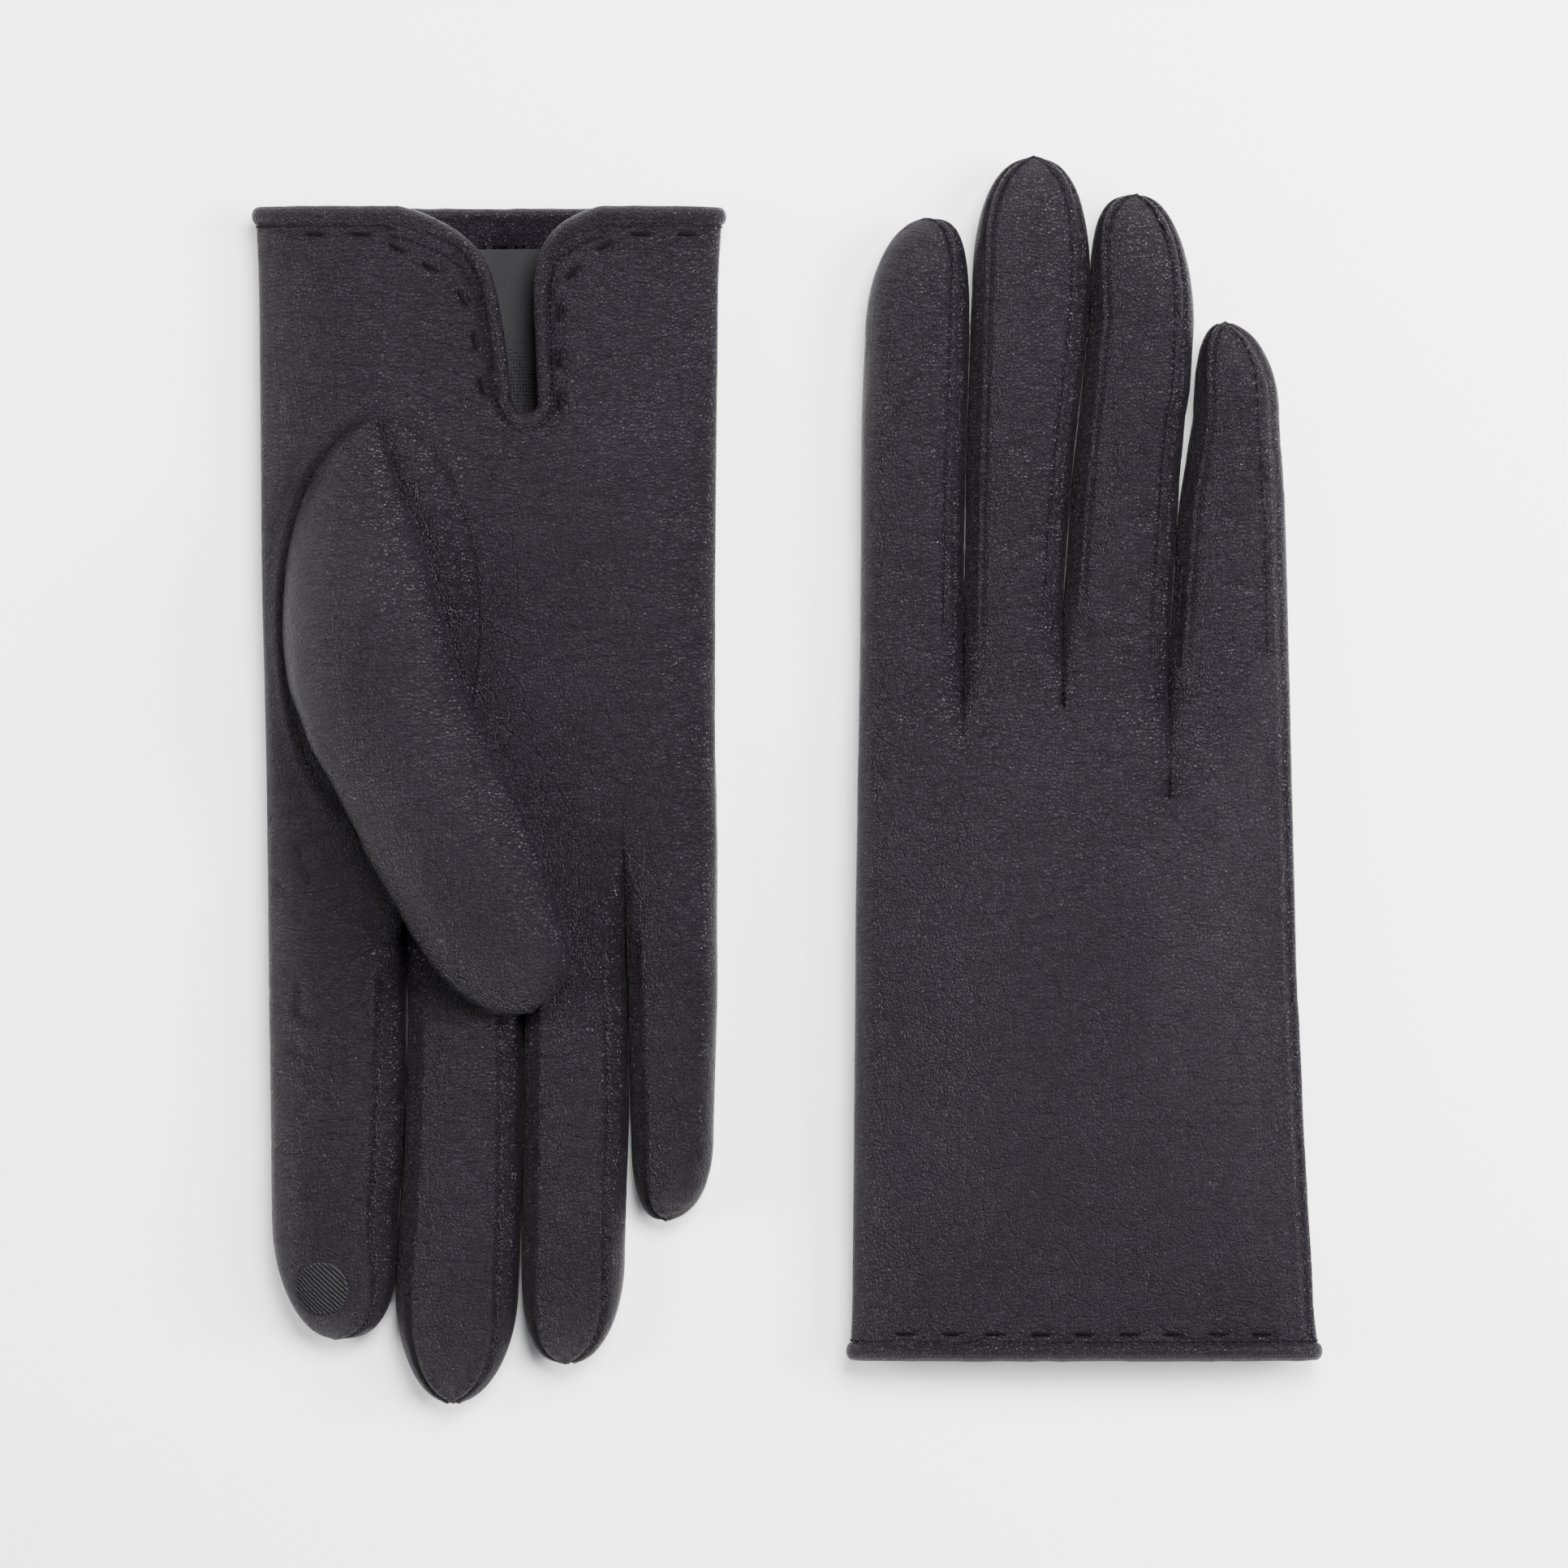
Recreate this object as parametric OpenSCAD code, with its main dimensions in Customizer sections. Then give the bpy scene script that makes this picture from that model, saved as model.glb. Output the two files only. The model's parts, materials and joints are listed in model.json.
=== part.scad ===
// A pair of lined leather dress gloves, laid flat side by side: one palm up, one back up.
// Both gloves are built in one design frame: x across with the index finger at -x, y from the cuff
// edge to the fingertips, z up with the palm side on top. place() lays each one in the row frame.

/* [Pair] */
// Distance between the centre lines of the two cuffs
cuff_spacing = 123.8; // [112:0.1:180]
// How far the two cuff edges are apart along Y
cuff_offset = 239.4; // [200:0.1:280]

/* [Leather and lining] */
// Thickness of the leather
leather = 0.8; // [0.5:0.05:1.0]
// Free space between the leather and its lining
ease = 0.3; // [0.25:0.05:0.4]
// Thickness of the knitted lining
knit = 0.5; // [0.3:0.05:0.6]

/* [Hand] */
// Height of a glove over the knuckles
hand_height = 11; // [10:0.5:14]
// Height of the leather at the cuff
cuff_height = 9.6; // [9.4:0.1:10]
// How square the edges of the hand are: 2 is an ellipse
hand_square = 3.0; // [2.2:0.1:3.6]
// How square a finger's section is
finger_square = 2.6; // [2.2:0.1:3.2]
// Half the angle that a fourchette takes of a finger's section
fourchette_angle = 34; // [24:1:40]

/* [Cuff] */
// Diameter of the bound edge
binding_dia = 3.2; // [2.4:0.1:3.4]
// Depth of the turned-in hem inside the cuff
facing_depth = 7.5; // [6:0.5:12]
// Sideways place of the palm vent
vent_x = 7.9; // [0:0.1:12]
// Depth of the vent's end, measured to the middle of the binding
vent_depth = 44; // [30:1:50]
// Half the width of the vent between the middles of its bindings
vent_half = 5.4; // [4.6:0.1:7]
// Length of one hand-sewn hem stitch
stitch_len = 4.0; // [3:0.1:5]
// Distance from one hem stitch to the next
stitch_pitch = 7.4; // [6:0.1:9]

/* [Thumb] */
// Height of the thumb lying on the palm, and of the thumb under the palm
thumb_height = [9, 7.6]; // [7.6:0.1:9]
// How deep the palm gives way over the thumb that lies under it
palm_dent = 8.2; // [8.1:0.1:8.6]

/* [Fingers] */
// Where the fingers of each glove part from the hand
root_y = [150, 143];
// Length of a finger's root that stays with the hand
root_len = 19.5; // [18.5:0.5:24]

/* [Hidden] */
SIDES = ["palm_up", "back_up"];
FINGERS = ["index", "middle", "ring", "little"];

mid = hand_height / 2;
lining_out = leather + ease;
lining_in = lining_out + knit;
gap = 0.15;
hinge_y = [for (y = root_y) y + root_len];
binding_r = binding_dia / 2;
// The vent widens towards the cuff over this depth.
vent_flare = 9;
// How far the middle of the binding lies under the leather's skin.
binding_sink = 1.0;
// From here on the palm of the back-up glove gives way over its thumb.
dent_start = 24;
// Height just clear of the back's lining there, and more than half the width of a hand.
over_back = 0.8;
max_half = 60;
// Face down, a glove rests on its raised stitching, which lifts the leather this much.
stitch_rise = 0.45;
black = [0.075, 0.07, 0.085];
black_soft = [0.09, 0.085, 0.1];
grey_knit = [0.2, 0.2, 0.21];

// Edges of the hand as [y, index side, little finger side].
HAND = [
    [[0, -48.2, 48.2], [20, -47.9, 47.3], [100, -47.0, 47.0], [150, -46.1, 47.3]],
    [[0, -48.2, 48.2], [40, -47.9, 46.1], [70, -47.6, 44.4], [143, -47.0, 42.7]]
];
// Fingers as stations [y, index side, little finger side]: the last but one is where the
// fingertip starts to round, and the last is the tip.
STALLS = [
    [[[150, -46.0, -18.9], [190, -45.6, -17.9], [210, -45.0, -18.2], [235, -30.4, -30.4]],
     [[150, -18.5, 7.3], [190, -17.4, 6.3], [212, -17.7, 5.9], [228, -19.2, 5.6], [248.5, -7.2, -7.2]],
     [[150, 7.7, 27.3], [190, 6.7, 28.7], [222, 6.9, 28.3], [240, 17.3, 17.3]],
     [[150, 27.8, 47.3], [180, 29.4, 47.3], [195.5, 29.6, 46.2], [210.5, 36.9, 36.9]]],
    [[[143, -47.0, -25.4], [185, -46.6, -25.2], [213, -45.8, -24.4], [238, -33.2, -33.2]],
     [[143, -25.0, -4.2], [185, -24.6, -2.4], [232, -22.8, 1.2], [250.3, -9.7, -9.7]],
     [[143, -3.8, 17.3], [185, -1.9, 18.2], [222, 1.9, 22.2], [242.6, 11.5, 11.5]],
     [[143, 17.8, 42.6], [175, 19.2, 41.8], [203, 22.6, 39.0], [216, 28.4, 28.4]]]
];
STALL_HALF = [5.5, 5.5, 5.5, 5.2];
// Thumb lying on the palm, as the same kind of stations; its base starts at the first one.
THUMB = [[45.5, -27.5, -21], [49, -31.5, -19.6], [56, -36.5, -18.6], [74, -41, -12.8], [98, -40, -2.7],
         [108, -38, 0], [130, -25, 10.2], [140, -20.4, 14.6], [153, -13.5, 17.8], [167.5, 8, 8]];
// The thumb under the palm lies slack, so it is this much shorter along Y.
thumb_slack = [1, 0.72];
thumb_top = 44;
thumb_base_z = [hand_height + 0.3, hand_height - palm_dent + 0.3];

function lerp(a, b, t) = a + (b - a) * t;
function smooth(t) = let (u = min(1, max(0, t))) u * u * (3 - 2 * u);
function spow(v, e) = sign(v) * pow(abs(v), e);
// From 1 where a tip starts to round to 0 at the tip.
function round_off(u, e) = pow(max(0, 1 - pow(max(0, min(1, u)), e)), 1 / e);
function column(rows, k) = [for (r = rows) [r[0], r[k]]];

// --- Hand ---
function hand_edge(g, y, k) = lookup(y, column(HAND[g], k));
function hand_half(y) = lerp(cuff_height / 2, mid, smooth((y - 12) / 50));
// How far the palm gives way at a point, over the thumb that lies under it.
function dent(g, x, y) =
    g == 0 ? 0
    : palm_dent * smooth((x + 58) / 13) * smooth((38 - x) / 16) * smooth((y - dent_start) / 16)
      * smooth((root_y[1] - 0.5 - y) / 12);
// A point of the hand's section: a is the angle from the little finger's side, d the depth under the skin.
function hand_point(g, y, a, d) =
    let (l = hand_edge(g, y, 1), r = hand_edge(g, y, 2), s = spow(sin(a), 2 / hand_square))
    let (x = (l + r) / 2 + ((r - l) / 2 - d) * spow(cos(a), 2 / hand_square))
    [x, y, mid + (hand_half(y) - d) * s - dent(g, x, y) * (0.81 + 0.19 * s)];
// Height of the palm's outer skin over a point of the design plane.
function palm_z(g, x, y, d = 0) =
    let (l = hand_edge(g, y, 1), r = hand_edge(g, y, 2))
    let (s = round_off(abs(x - (l + r) / 2) / ((r - l) / 2 - d), hand_square))
    mid + (hand_half(y) - d) * s - dent(g, x, y) * (0.81 + 0.19 * s);

// --- Fingers ---
function stall_u(f, y) = (y - f[len(f) - 2][0]) / (f[len(f) - 1][0] - f[len(f) - 2][0]);
function stall_edge(f, y, k) =
    let (start = f[len(f) - 2], tip = f[len(f) - 1])
    y <= start[0] ? lookup(y, column(f, k)) : tip[k] + (start[k] - tip[k]) * round_off(stall_u(f, y), 2.2);
// A point of a finger's section at angle a, d under the skin.
function stall_point(g, i, y, a, d) =
    let (f = STALLS[g][i], l = stall_edge(f, y, 1), r = stall_edge(f, y, 2))
    let (half = STALL_HALF[i] * round_off(stall_u(f, y), 2.6), drop = mid - lerp(mid, half, 0.6))
    [(l + r) / 2 + ((r - l) / 2 - d) * spow(cos(a), 2 / finger_square), y,
     mid + (g == 0 ? -drop : drop) + (half - d) * spow(sin(a), 2 / finger_square)];
// Stations along a finger from y0 to the share end of its rounded tip.
function stall_stations(g, i, y0, end, body = 3, cap = 5) =
    let (f = STALLS[g][i], start = f[len(f) - 2][0], tip = f[len(f) - 1][0])
    concat([for (k = [0:body - 1]) lerp(y0, start, k / body)],
           [for (k = [0:cap]) start + (tip - start) * end * sin(90 * k / cap)]);

// --- Skins ---
// A ring round the section of a wall: along its outer face and back along its inner one.
function band(outer, inner) = concat(outer, [for (k = [len(inner) - 1:-1:0]) inner[k]]);
function reversed(v) = [for (k = [len(v) - 1:-1:0]) v[k]];

// A solid through rings of equal count: capped at both ends, or closed on itself.
module skin(rings, closed = false) {
    n = len(rings[0]);
    m = len(rings);
    last = closed ? m - 1 : m - 2;
    sides = [for (j = [0:last], i = [0:n - 1])
        let (a = j * n + i, b = j * n + (i + 1) % n, k = (j + 1) % m)
        let (c = k * n + (i + 1) % n, d = k * n + i)
        each [[a, b, c], [a, c, d]]];
    caps = closed ? [] : [[for (i = [n - 1:-1:0]) i], [for (i = [0:n - 1]) (m - 1) * n + i]];
    polyhedron([for (r = rings) each r], concat(sides, caps), convexity = 8);
}

// A tube along points with an outward direction at each: at is [[point, outward], ...], closed on itself.
module closed_tube(at, r, sides) {
    n = len(at);
    skin([for (k = [0:n - 1])
        let (t = at[(k + 1) % n][0] - at[(k + n - 1) % n][0], out = at[k][1])
        let (side = cross(t / norm(t), out / norm(out)), up = cross(side, t / norm(t)))
        [for (j = [0:sides - 1]) at[k][0] + r * (cos(360 * j / sides) * up - sin(360 * j / sides) * side)]],
        closed = true);
}

// --- Vent ---
// Half the vent's width at depth y, for an outline that lies grow outside the binding's middle.
function vent_side(y, grow) =
    let (flare = y < vent_flare ? vent_flare - sqrt(vent_flare ^ 2 - (vent_flare - y) ^ 2) : 0)
    vent_half + grow + flare * 1.25 - 1.6 * y / vent_depth;
vent_end_r = vent_side(vent_depth, 0);
// The vent's outline from the cuff's index side down, round its end and back up.
function vent_line(grow, steps = 8) =
    let (straight = vent_depth - vent_end_r)
    let (down = [for (k = [0:steps]) let (y = straight * (k / steps) ^ 1.6) [-vent_side(y, grow), y]],
         turn = [for (a = [160:-20:20]) (vent_end_r + grow) * [cos(a), sin(a)] + [0, straight]])
    [for (p = concat(down, turn, [for (k = [steps:-1:0]) [-down[k][0], down[k][1]]])) p + [vent_x, 0]];

// Cuts the vent out of the palm side, grow outside the binding's middle.
module vent_outline(grow) {
    translate([0, binding_r])
        polygon(concat([[vent_x - vent_side(0, grow), -5]], vent_line(grow), [[vent_x + vent_side(0, grow), -5]]));
}
// Where the palm gives way over the thumb, the cut goes on down to just over the back.
module vent_cut(g, grow) {
    difference() {
        children();
        translate([0, 0, mid]) linear_extrude(height = 20) vent_outline(grow);
        if (g == 1) intersection() {
            translate([0, 0, over_back]) linear_extrude(height = mid) vent_outline(grow);
            translate([-max_half, dent_start + 3, 0]) cube(2 * max_half);
        }
    }
}

// --- Thumb ---
function thumb_y(g, y) = thumb_top + (y - thumb_top) * thumb_slack[g];
function thumb_edge(y, k) =
    let (start = THUMB[len(THUMB) - 2], tip = THUMB[len(THUMB) - 1])
    y <= start[0] ? lookup(y, column(THUMB, k))
    : tip[k] + (start[k] - tip[k]) * round_off((y - start[0]) / (tip[0] - start[0]), 2.2);
// Half the thumb's height: it rises from its base and rounds off at the tip.
function thumb_half(g, y) =
    let (start = THUMB[len(THUMB) - 2][0], tip = THUMB[len(THUMB) - 1][0])
    thumb_height[g] / 2 * (0.45 + 0.55 * smooth((y - 44) / 26)) * round_off((y - start) / (tip - start), 2.6);
function thumb_point(g, y, a, d) =
    let (l = thumb_edge(y, 1), r = thumb_edge(y, 2), h = thumb_half(g, y))
    [(l + r) / 2 + ((r - l) / 2 - d) * spow(cos(a), 2 / finger_square), thumb_y(g, y),
     thumb_base_z[g] + thumb_height[g] / 2 + (h - d) * spow(sin(a), 2 / finger_square)];
// The seam of the thumb in the palm is an oval; the thumb's mouth is a smaller one inside it.
seam_middle = [-22.2, 87];
seam_half = [20.4, 42.6];
mouth_middle = [-25, 80];
mouth_half = [7.5, 22];
function oval(middle, half, grow, n = 28) =
    [for (k = [0:n - 1]) middle + [(half[0] + grow) * cos(360 * k / n), (half[1] + grow) * sin(360 * k / n)]];
function laid_oval(g, middle, half, grow) =
    [for (p = oval(middle, half, grow)) [p[0], thumb_y(g, p[1])]];

// Cuts an upright hole of that outline through the palm side, from under the palm's skin upwards.
module palm_cut(g, outline) {
    difference() {
        children();
        skin([[for (p = outline) [p[0], p[1], 40]],
              [for (p = outline) [p[0], p[1], palm_z(g, p[0], p[1]) - 3.2]]]);
    }
}

// --- Sub-parts of the hand ---
hem_y = 2 * binding_r + 0.2;
// Stations along the hand, closer together where the palm starts to give way over the thumb.
function hand_rows(g, first) =
    concat([first], g == 0 ? [40, 62, 90, 118] : [dent_start, 29, 34, 40, 62, 90, 118, 130, 133, 136, 139],
           [root_y[g] - gap]);
// Angles round the hand's section, which leather and lining share.
hand_angles = [for (k = [0:29]) 12 * k];
// The palm sheet and the back sheet, from the seam on one side to the fold on the other.
seam_slit = 2;
fold_slit = 0.6;
palm_angles = concat([seam_slit], [for (k = [1:14]) 12 * k], [180 - fold_slit]);
back_angles = concat([180 + fold_slit], [for (k = [16:29]) 12 * k], [360 - seam_slit]);
function hand_ring(g, y, depth) = [for (a = hand_angles) hand_point(g, y, a, depth)];

module hand_sheet(g, angles) {
    skin([for (y = hand_rows(g, hem_y))
        band([for (a = angles) hand_point(g, y, a, 0)], [for (a = angles) hand_point(g, y, a, leather)])]);
}

// Palm and back, folded along the index side and sewn together along the little finger's side.
module hand_leather(g) {
    color(black) {
        palm_cut(g, laid_oval(g, seam_middle, seam_half, 0.1)) vent_cut(g, binding_r + 0.1)
            hand_sheet(g, palm_angles);
        hand_sheet(g, back_angles);
    }
}

module finger_roots(g) {
    color(black) for (i = [0:3])
        skin([for (s = [[root_y[g] + gap, 0], [hinge_y[g] - gap, 0], [hinge_y[g] - gap, leather],
                        [root_y[g] + gap, leather]])
            [for (k = [0:15]) stall_point(g, i, s[0], k * 22.5, s[1])]], closed = true);
}

module hand_lining(g) {
    rows = hand_rows(g, facing_depth + 0.3);
    color(grey_knit) {
        palm_cut(g, laid_oval(g, mouth_middle, mouth_half, 2)) vent_cut(g, binding_r + 0.1)
            skin(concat([for (y = rows) hand_ring(g, y, lining_out)],
                        [for (y = reversed(rows)) hand_ring(g, y, lining_in)]), closed = true);
        for (i = [0:3])
            skin([for (s = [[root_y[g] + gap, lining_out], [hinge_y[g] - gap, lining_out],
                            [hinge_y[g] - gap, lining_in], [root_y[g] + gap, lining_in]])
                [for (k = [0:11]) stall_point(g, i, s[0], k * 30, s[1])]], closed = true);
    }
}

// The leather turned in behind the bound edge.
module hem_facing(g) {
    color(black_soft) vent_cut(g, binding_r + 0.1)
        skin([for (s = [[hem_y, lining_out], [facing_depth, lining_out], [facing_depth, lining_in],
                        [hem_y, lining_in]])
            hand_ring(g, s[0], s[1])], closed = true);
}

// The edge path round the cuff and down the vent, as [point, outward], lift outside the leather's skin.
function edge_path(g, y, depth, grow) =
    let (half = hand_edge(g, y, 2) - depth, corner = vent_side(0, grow))
    let (s = hand_square / 2, a1 = acos(pow((vent_x + corner) / half, s)),
         a0 = acos(spow((vent_x - corner) / half, s)))
    let (around = [for (k = [0:32]) let (a = lerp(a1, a0 - 360, k / 32))
             [hand_point(g, y, a, depth), [cos(a), 0, sin(a)]]],
         vent = vent_line(grow),
         drop = [for (p = vent) let (q = [p[0], p[1] + y]) [[q[0], q[1], palm_z(g, q[0], q[1], depth)], [0, 0, 1]]])
    concat(around, [for (k = [1:len(drop) - 2]) drop[k]]);

module cuff_binding(g) {
    color(black_soft) closed_tube(edge_path(g, binding_r, binding_sink, 0), binding_r, 7);
}

// The machine-sewn row that holds the binding down.
module binding_thread(g) {
    color(black) closed_tube(edge_path(g, hem_y + 0.4, -0.32, binding_r + 0.5), 0.2, 4);
}

// One hand-sewn stitch lying along the direction dir.
module stitch(at, dir) {
    translate(at) rotate([0, 90, atan2(dir[1], dir[0])])
        cylinder(r = 0.3, h = stitch_len, center = true, $fn = 16);
}

module hem_stitching(g) {
    row = hem_y + 2.2;
    clear = 0.38;
    corner = vent_side(0, 0) + 6;
    color(black) {
        for (x = [-37:stitch_pitch:38]) stitch([x, row, 2 * mid - palm_z(g, x, row) - clear], [1, 0]);
        for (x = [vent_x - corner:-stitch_pitch:-40]) stitch([x, row, palm_z(g, x, row) + clear], [1, 0]);
        for (x = [vent_x + corner:stitch_pitch:40]) stitch([x, row, palm_z(g, x, row) + clear], [1, 0]);
        for (side = [-1, 1], y = [row + 7:stitch_pitch:vent_depth - 2]) {
            x = vent_x + side * vent_side(y, binding_r + 2);
            stitch([x, y, palm_z(g, x, y) + clear], [0, 1]);
        }
    }
}

// A collar of the thumb's leather, sewn into the oval hole in the palm.
module thumb_base(g) {
    color(black_soft)
        skin([for (s = [[0, -leather], [1, -leather], [1, 0], [0, 0]])
            [for (p = s[0] == 0 ? laid_oval(g, seam_middle, seam_half, -0.1)
                                : laid_oval(g, mouth_middle, mouth_half, 0))
                [p[0], p[1], palm_z(g, p[0], p[1]) + s[1]]]], closed = true);
}

function thumb_rows(end) =
    let (start = THUMB[len(THUMB) - 2][0], tip = THUMB[len(THUMB) - 1][0])
    concat([for (k = [0:len(THUMB) - 3]) THUMB[k][0]],
           [for (k = [0:5]) start + (tip - start) * end * sin(18 * k)]);

// A thumb skin from depth d0 to d1, with its mouth open towards the palm.
module thumb_skin(g, d0, d1, end, n) {
    rows = thumb_rows(end);
    inner_rows = [for (y = rows) max(y, rows[0] + d1 - d0)];
    difference() {
        skin(concat([for (y = reversed(inner_rows)) [for (k = [0:n - 1]) thumb_point(g, y, k * 360 / n, d1)]],
                    [for (y = rows) [for (k = [0:n - 1]) thumb_point(g, y, k * 360 / n, d0)]]));
        translate([0, 0, thumb_base_z[g] - 3]) linear_extrude(height = 3 + thumb_height[g] / 2)
            polygon(laid_oval(g, mouth_middle, mouth_half, 0));
    }
}

module thumb_leather(g) { color(black) thumb_skin(g, 0, leather, 0.985, 18); }
module thumb_lining(g) { color(grey_knit) thumb_skin(g, lining_out, lining_in, 0.9, 12); }

// The small gusset in the fork between thumb and palm.
module thumb_quirk(g) {
    corners = [[-31.8, 128.6], [-29.4, 125.2], [-26.9, 131]];
    color(black_soft)
        skin([for (lift = [0.6, 0.1])
            [for (c = corners) let (y = thumb_y(g, c[1]) + (g == 1 ? 2 : 0))
                [c[0], y, palm_z(g, c[0], y) + lift]]]);
}

// --- Sub-parts of a finger ---
// The fourchettes narrow towards the tip, where palm and back leather meet in one seam.
function seam_angle(g, i, y) = fourchette_angle * (1 - 0.8 * smooth(stall_u(STALLS[g][i], y)));

// The leather from angle a0 to a1, both counted from the seams, as one wall along the finger.
module stall_wall(g, i, ends, outer, end, n) {
    skin([for (y = stall_stations(g, i, hinge_y[g] + gap, end))
        let (s = seam_angle(g, i, y), a0 = ends[0][0] + ends[0][1] * s, a1 = ends[1][0] + ends[1][1] * s)
        band([for (k = [0:n]) stall_point(g, i, y, lerp(a0, a1, k / n), outer)],
             [for (k = [0:n]) stall_point(g, i, y, lerp(a0, a1, k / n), outer + leather)])]);
}

// Palm and back leather of a finger. On the index and little finger they meet round the outer side.
module finger_leather(g, i) {
    little_side = i == 3 ? 0 : 1;
    index_side = i == 0 ? 0 : 1;
    color(black) {
        stall_wall(g, i, [[1, little_side], [179, -index_side]], 0, 0.99, 9);
        stall_wall(g, i, [[181, index_side], [359, -little_side]], 0, 0.99, 9);
    }
}

module finger_fourchette(g, i) {
    color(black_soft) {
        if (i < 3) stall_wall(g, i, [[0, -1], [0, 1]], 0, 0.9, 4);
        if (i > 0) stall_wall(g, i, [[180, -1], [180, 1]], 0, 0.9, 4);
    }
}

module finger_lining(g, i) {
    rows = stall_stations(g, i, hinge_y[g] + gap, 0.9, 2, 4);
    color(grey_knit)
        skin(concat([for (y = reversed(rows)) [for (k = [0:11]) stall_point(g, i, y, k * 30, lining_in)]],
                    [for (y = rows) [for (k = [0:11]) stall_point(g, i, y, k * 30, lining_out)]]));
}

// The disc of conductive thread on the index fingertip.
module touch_patch(g) {
    middle = [[-34.6, 224], [-36.5, 227]][g];
    radius = 5.4;
    function on_tip(x, y, lift) =
        let (f = STALLS[g][0], l = stall_edge(f, y, 1), r = stall_edge(f, y, 2))
        let (half = STALL_HALF[0] * round_off(stall_u(f, y), 2.6), drop = mid - lerp(mid, half, 0.6))
        [x, y, mid + (g == 0 ? -drop : drop) + lift
               + half * round_off(abs(x - (l + r) / 2) / ((r - l) / 2), finger_square)];
    color(black_soft)
        skin([for (s = [[0.2, 0.4], [0.6, 0.4], [1, 0.35], [1, 0.1], [0.6, 0.1], [0.2, 0.1]])
            [for (k = [0:17]) let (p = middle + s[0] * radius * [cos(20 * k), sin(20 * k)])
                on_tip(p[0], p[1], s[1])]]);
}

// --- Assembly ---
module place(g) {
    if (g == 0)
        translate([-cuff_spacing / 2, cuff_offset / 2, 0]) mirror([0, 1, 0]) children();
    else
        translate([cuff_spacing / 2, -cuff_offset / 2, hand_height + stitch_rise]) mirror([0, 0, 1]) children();
}

module sub_part(g, p) {
    if (p == "hand_leather") hand_leather(g);
    if (p == "finger_roots") finger_roots(g);
    if (p == "hand_lining") hand_lining(g);
    if (p == "hem_facing") hem_facing(g);
    if (p == "cuff_binding") cuff_binding(g);
    if (p == "binding_thread") binding_thread(g);
    if (p == "hem_stitching") hem_stitching(g);
    if (p == "thumb_base") thumb_base(g);
    if (p == "thumb_leather") thumb_leather(g);
    if (p == "thumb_lining") thumb_lining(g);
    if (p == "thumb_quirk") thumb_quirk(g);
    if (p == "touch_patch") touch_patch(g);
    for (i = [0:3]) {
        if (p == str(FINGERS[i], "_leather")) finger_leather(g, i);
        if (p == str(FINGERS[i], "_fourchette")) finger_fourchette(g, i);
        if (p == str(FINGERS[i], "_lining")) finger_lining(g, i);
    }
}

for (g = [0, 1], p = concat(["hand_leather", "finger_roots", "hand_lining", "hem_facing", "cuff_binding",
                             "binding_thread", "hem_stitching", "thumb_base", "thumb_leather",
                             "thumb_lining", "thumb_quirk", "touch_patch"],
                            [for (f = FINGERS, q = ["leather", "fourchette", "lining"]) str(f, "_", q)]))
    place(g) sub_part(g, p);
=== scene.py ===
"""A pair of lined black leather dress gloves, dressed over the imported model.

Every glove is shaped in a design frame in millimetres: x across with the index finger at -x, y from the
cuff edge to the fingertips, z up with the palm side on top. Glove.place() lays it in the row frame.
"""
import json
import math
import bpy
import numpy as np
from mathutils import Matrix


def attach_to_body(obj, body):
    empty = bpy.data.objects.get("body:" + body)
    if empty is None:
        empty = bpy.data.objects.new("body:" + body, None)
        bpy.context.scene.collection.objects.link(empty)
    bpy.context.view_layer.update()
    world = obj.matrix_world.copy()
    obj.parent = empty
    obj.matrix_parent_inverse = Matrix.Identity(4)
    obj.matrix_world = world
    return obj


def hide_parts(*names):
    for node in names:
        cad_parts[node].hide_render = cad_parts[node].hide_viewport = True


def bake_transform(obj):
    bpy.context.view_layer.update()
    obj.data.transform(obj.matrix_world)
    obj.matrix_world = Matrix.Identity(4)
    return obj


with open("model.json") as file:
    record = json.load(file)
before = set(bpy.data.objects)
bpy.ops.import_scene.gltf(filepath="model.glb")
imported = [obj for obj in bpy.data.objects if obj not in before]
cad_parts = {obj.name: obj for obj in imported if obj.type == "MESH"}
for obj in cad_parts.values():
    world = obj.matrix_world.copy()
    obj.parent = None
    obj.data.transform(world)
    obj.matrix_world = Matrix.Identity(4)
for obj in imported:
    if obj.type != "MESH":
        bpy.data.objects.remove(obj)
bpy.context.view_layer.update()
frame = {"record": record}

bl_info = {
    "name": "Leather gloves",
    "version": (1, 0, 0),
    "blender": (4, 5, 0),
    "location": "View3D > Sidebar > Gloves",
    "description": "Leather, linings, bindings, stitching and stage of a pair of dress gloves",
    "category": "Object",
}

SIDES = ("palm_up", "back_up")
FINGERS = ("index", "middle", "ring", "little")
MID = 5.5
PALM, BACK = 1, -1


# --- Settings ---
class LeatherSettings(bpy.types.PropertyGroup):
    """Thickness, folds and finish of the leather"""
    thickness: bpy.props.FloatProperty(name="Thickness",
                                       description="Thickness of the leather, mm", default=0.8)
    fold_height: bpy.props.FloatProperty(name="Folds",
                                         description="Height of the soft folds, mm", default=0.6)
    crease_depth: bpy.props.FloatProperty(name="Creases",
                                          description="Depth of the fine creases, mm", default=0.24)
    pore: bpy.props.FloatProperty(name="Grain", description="Size of a grain cell, mm", default=0.8)
    roughness: bpy.props.FloatProperty(name="Roughness", description="Roughness of the finish", default=0.38)


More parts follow.
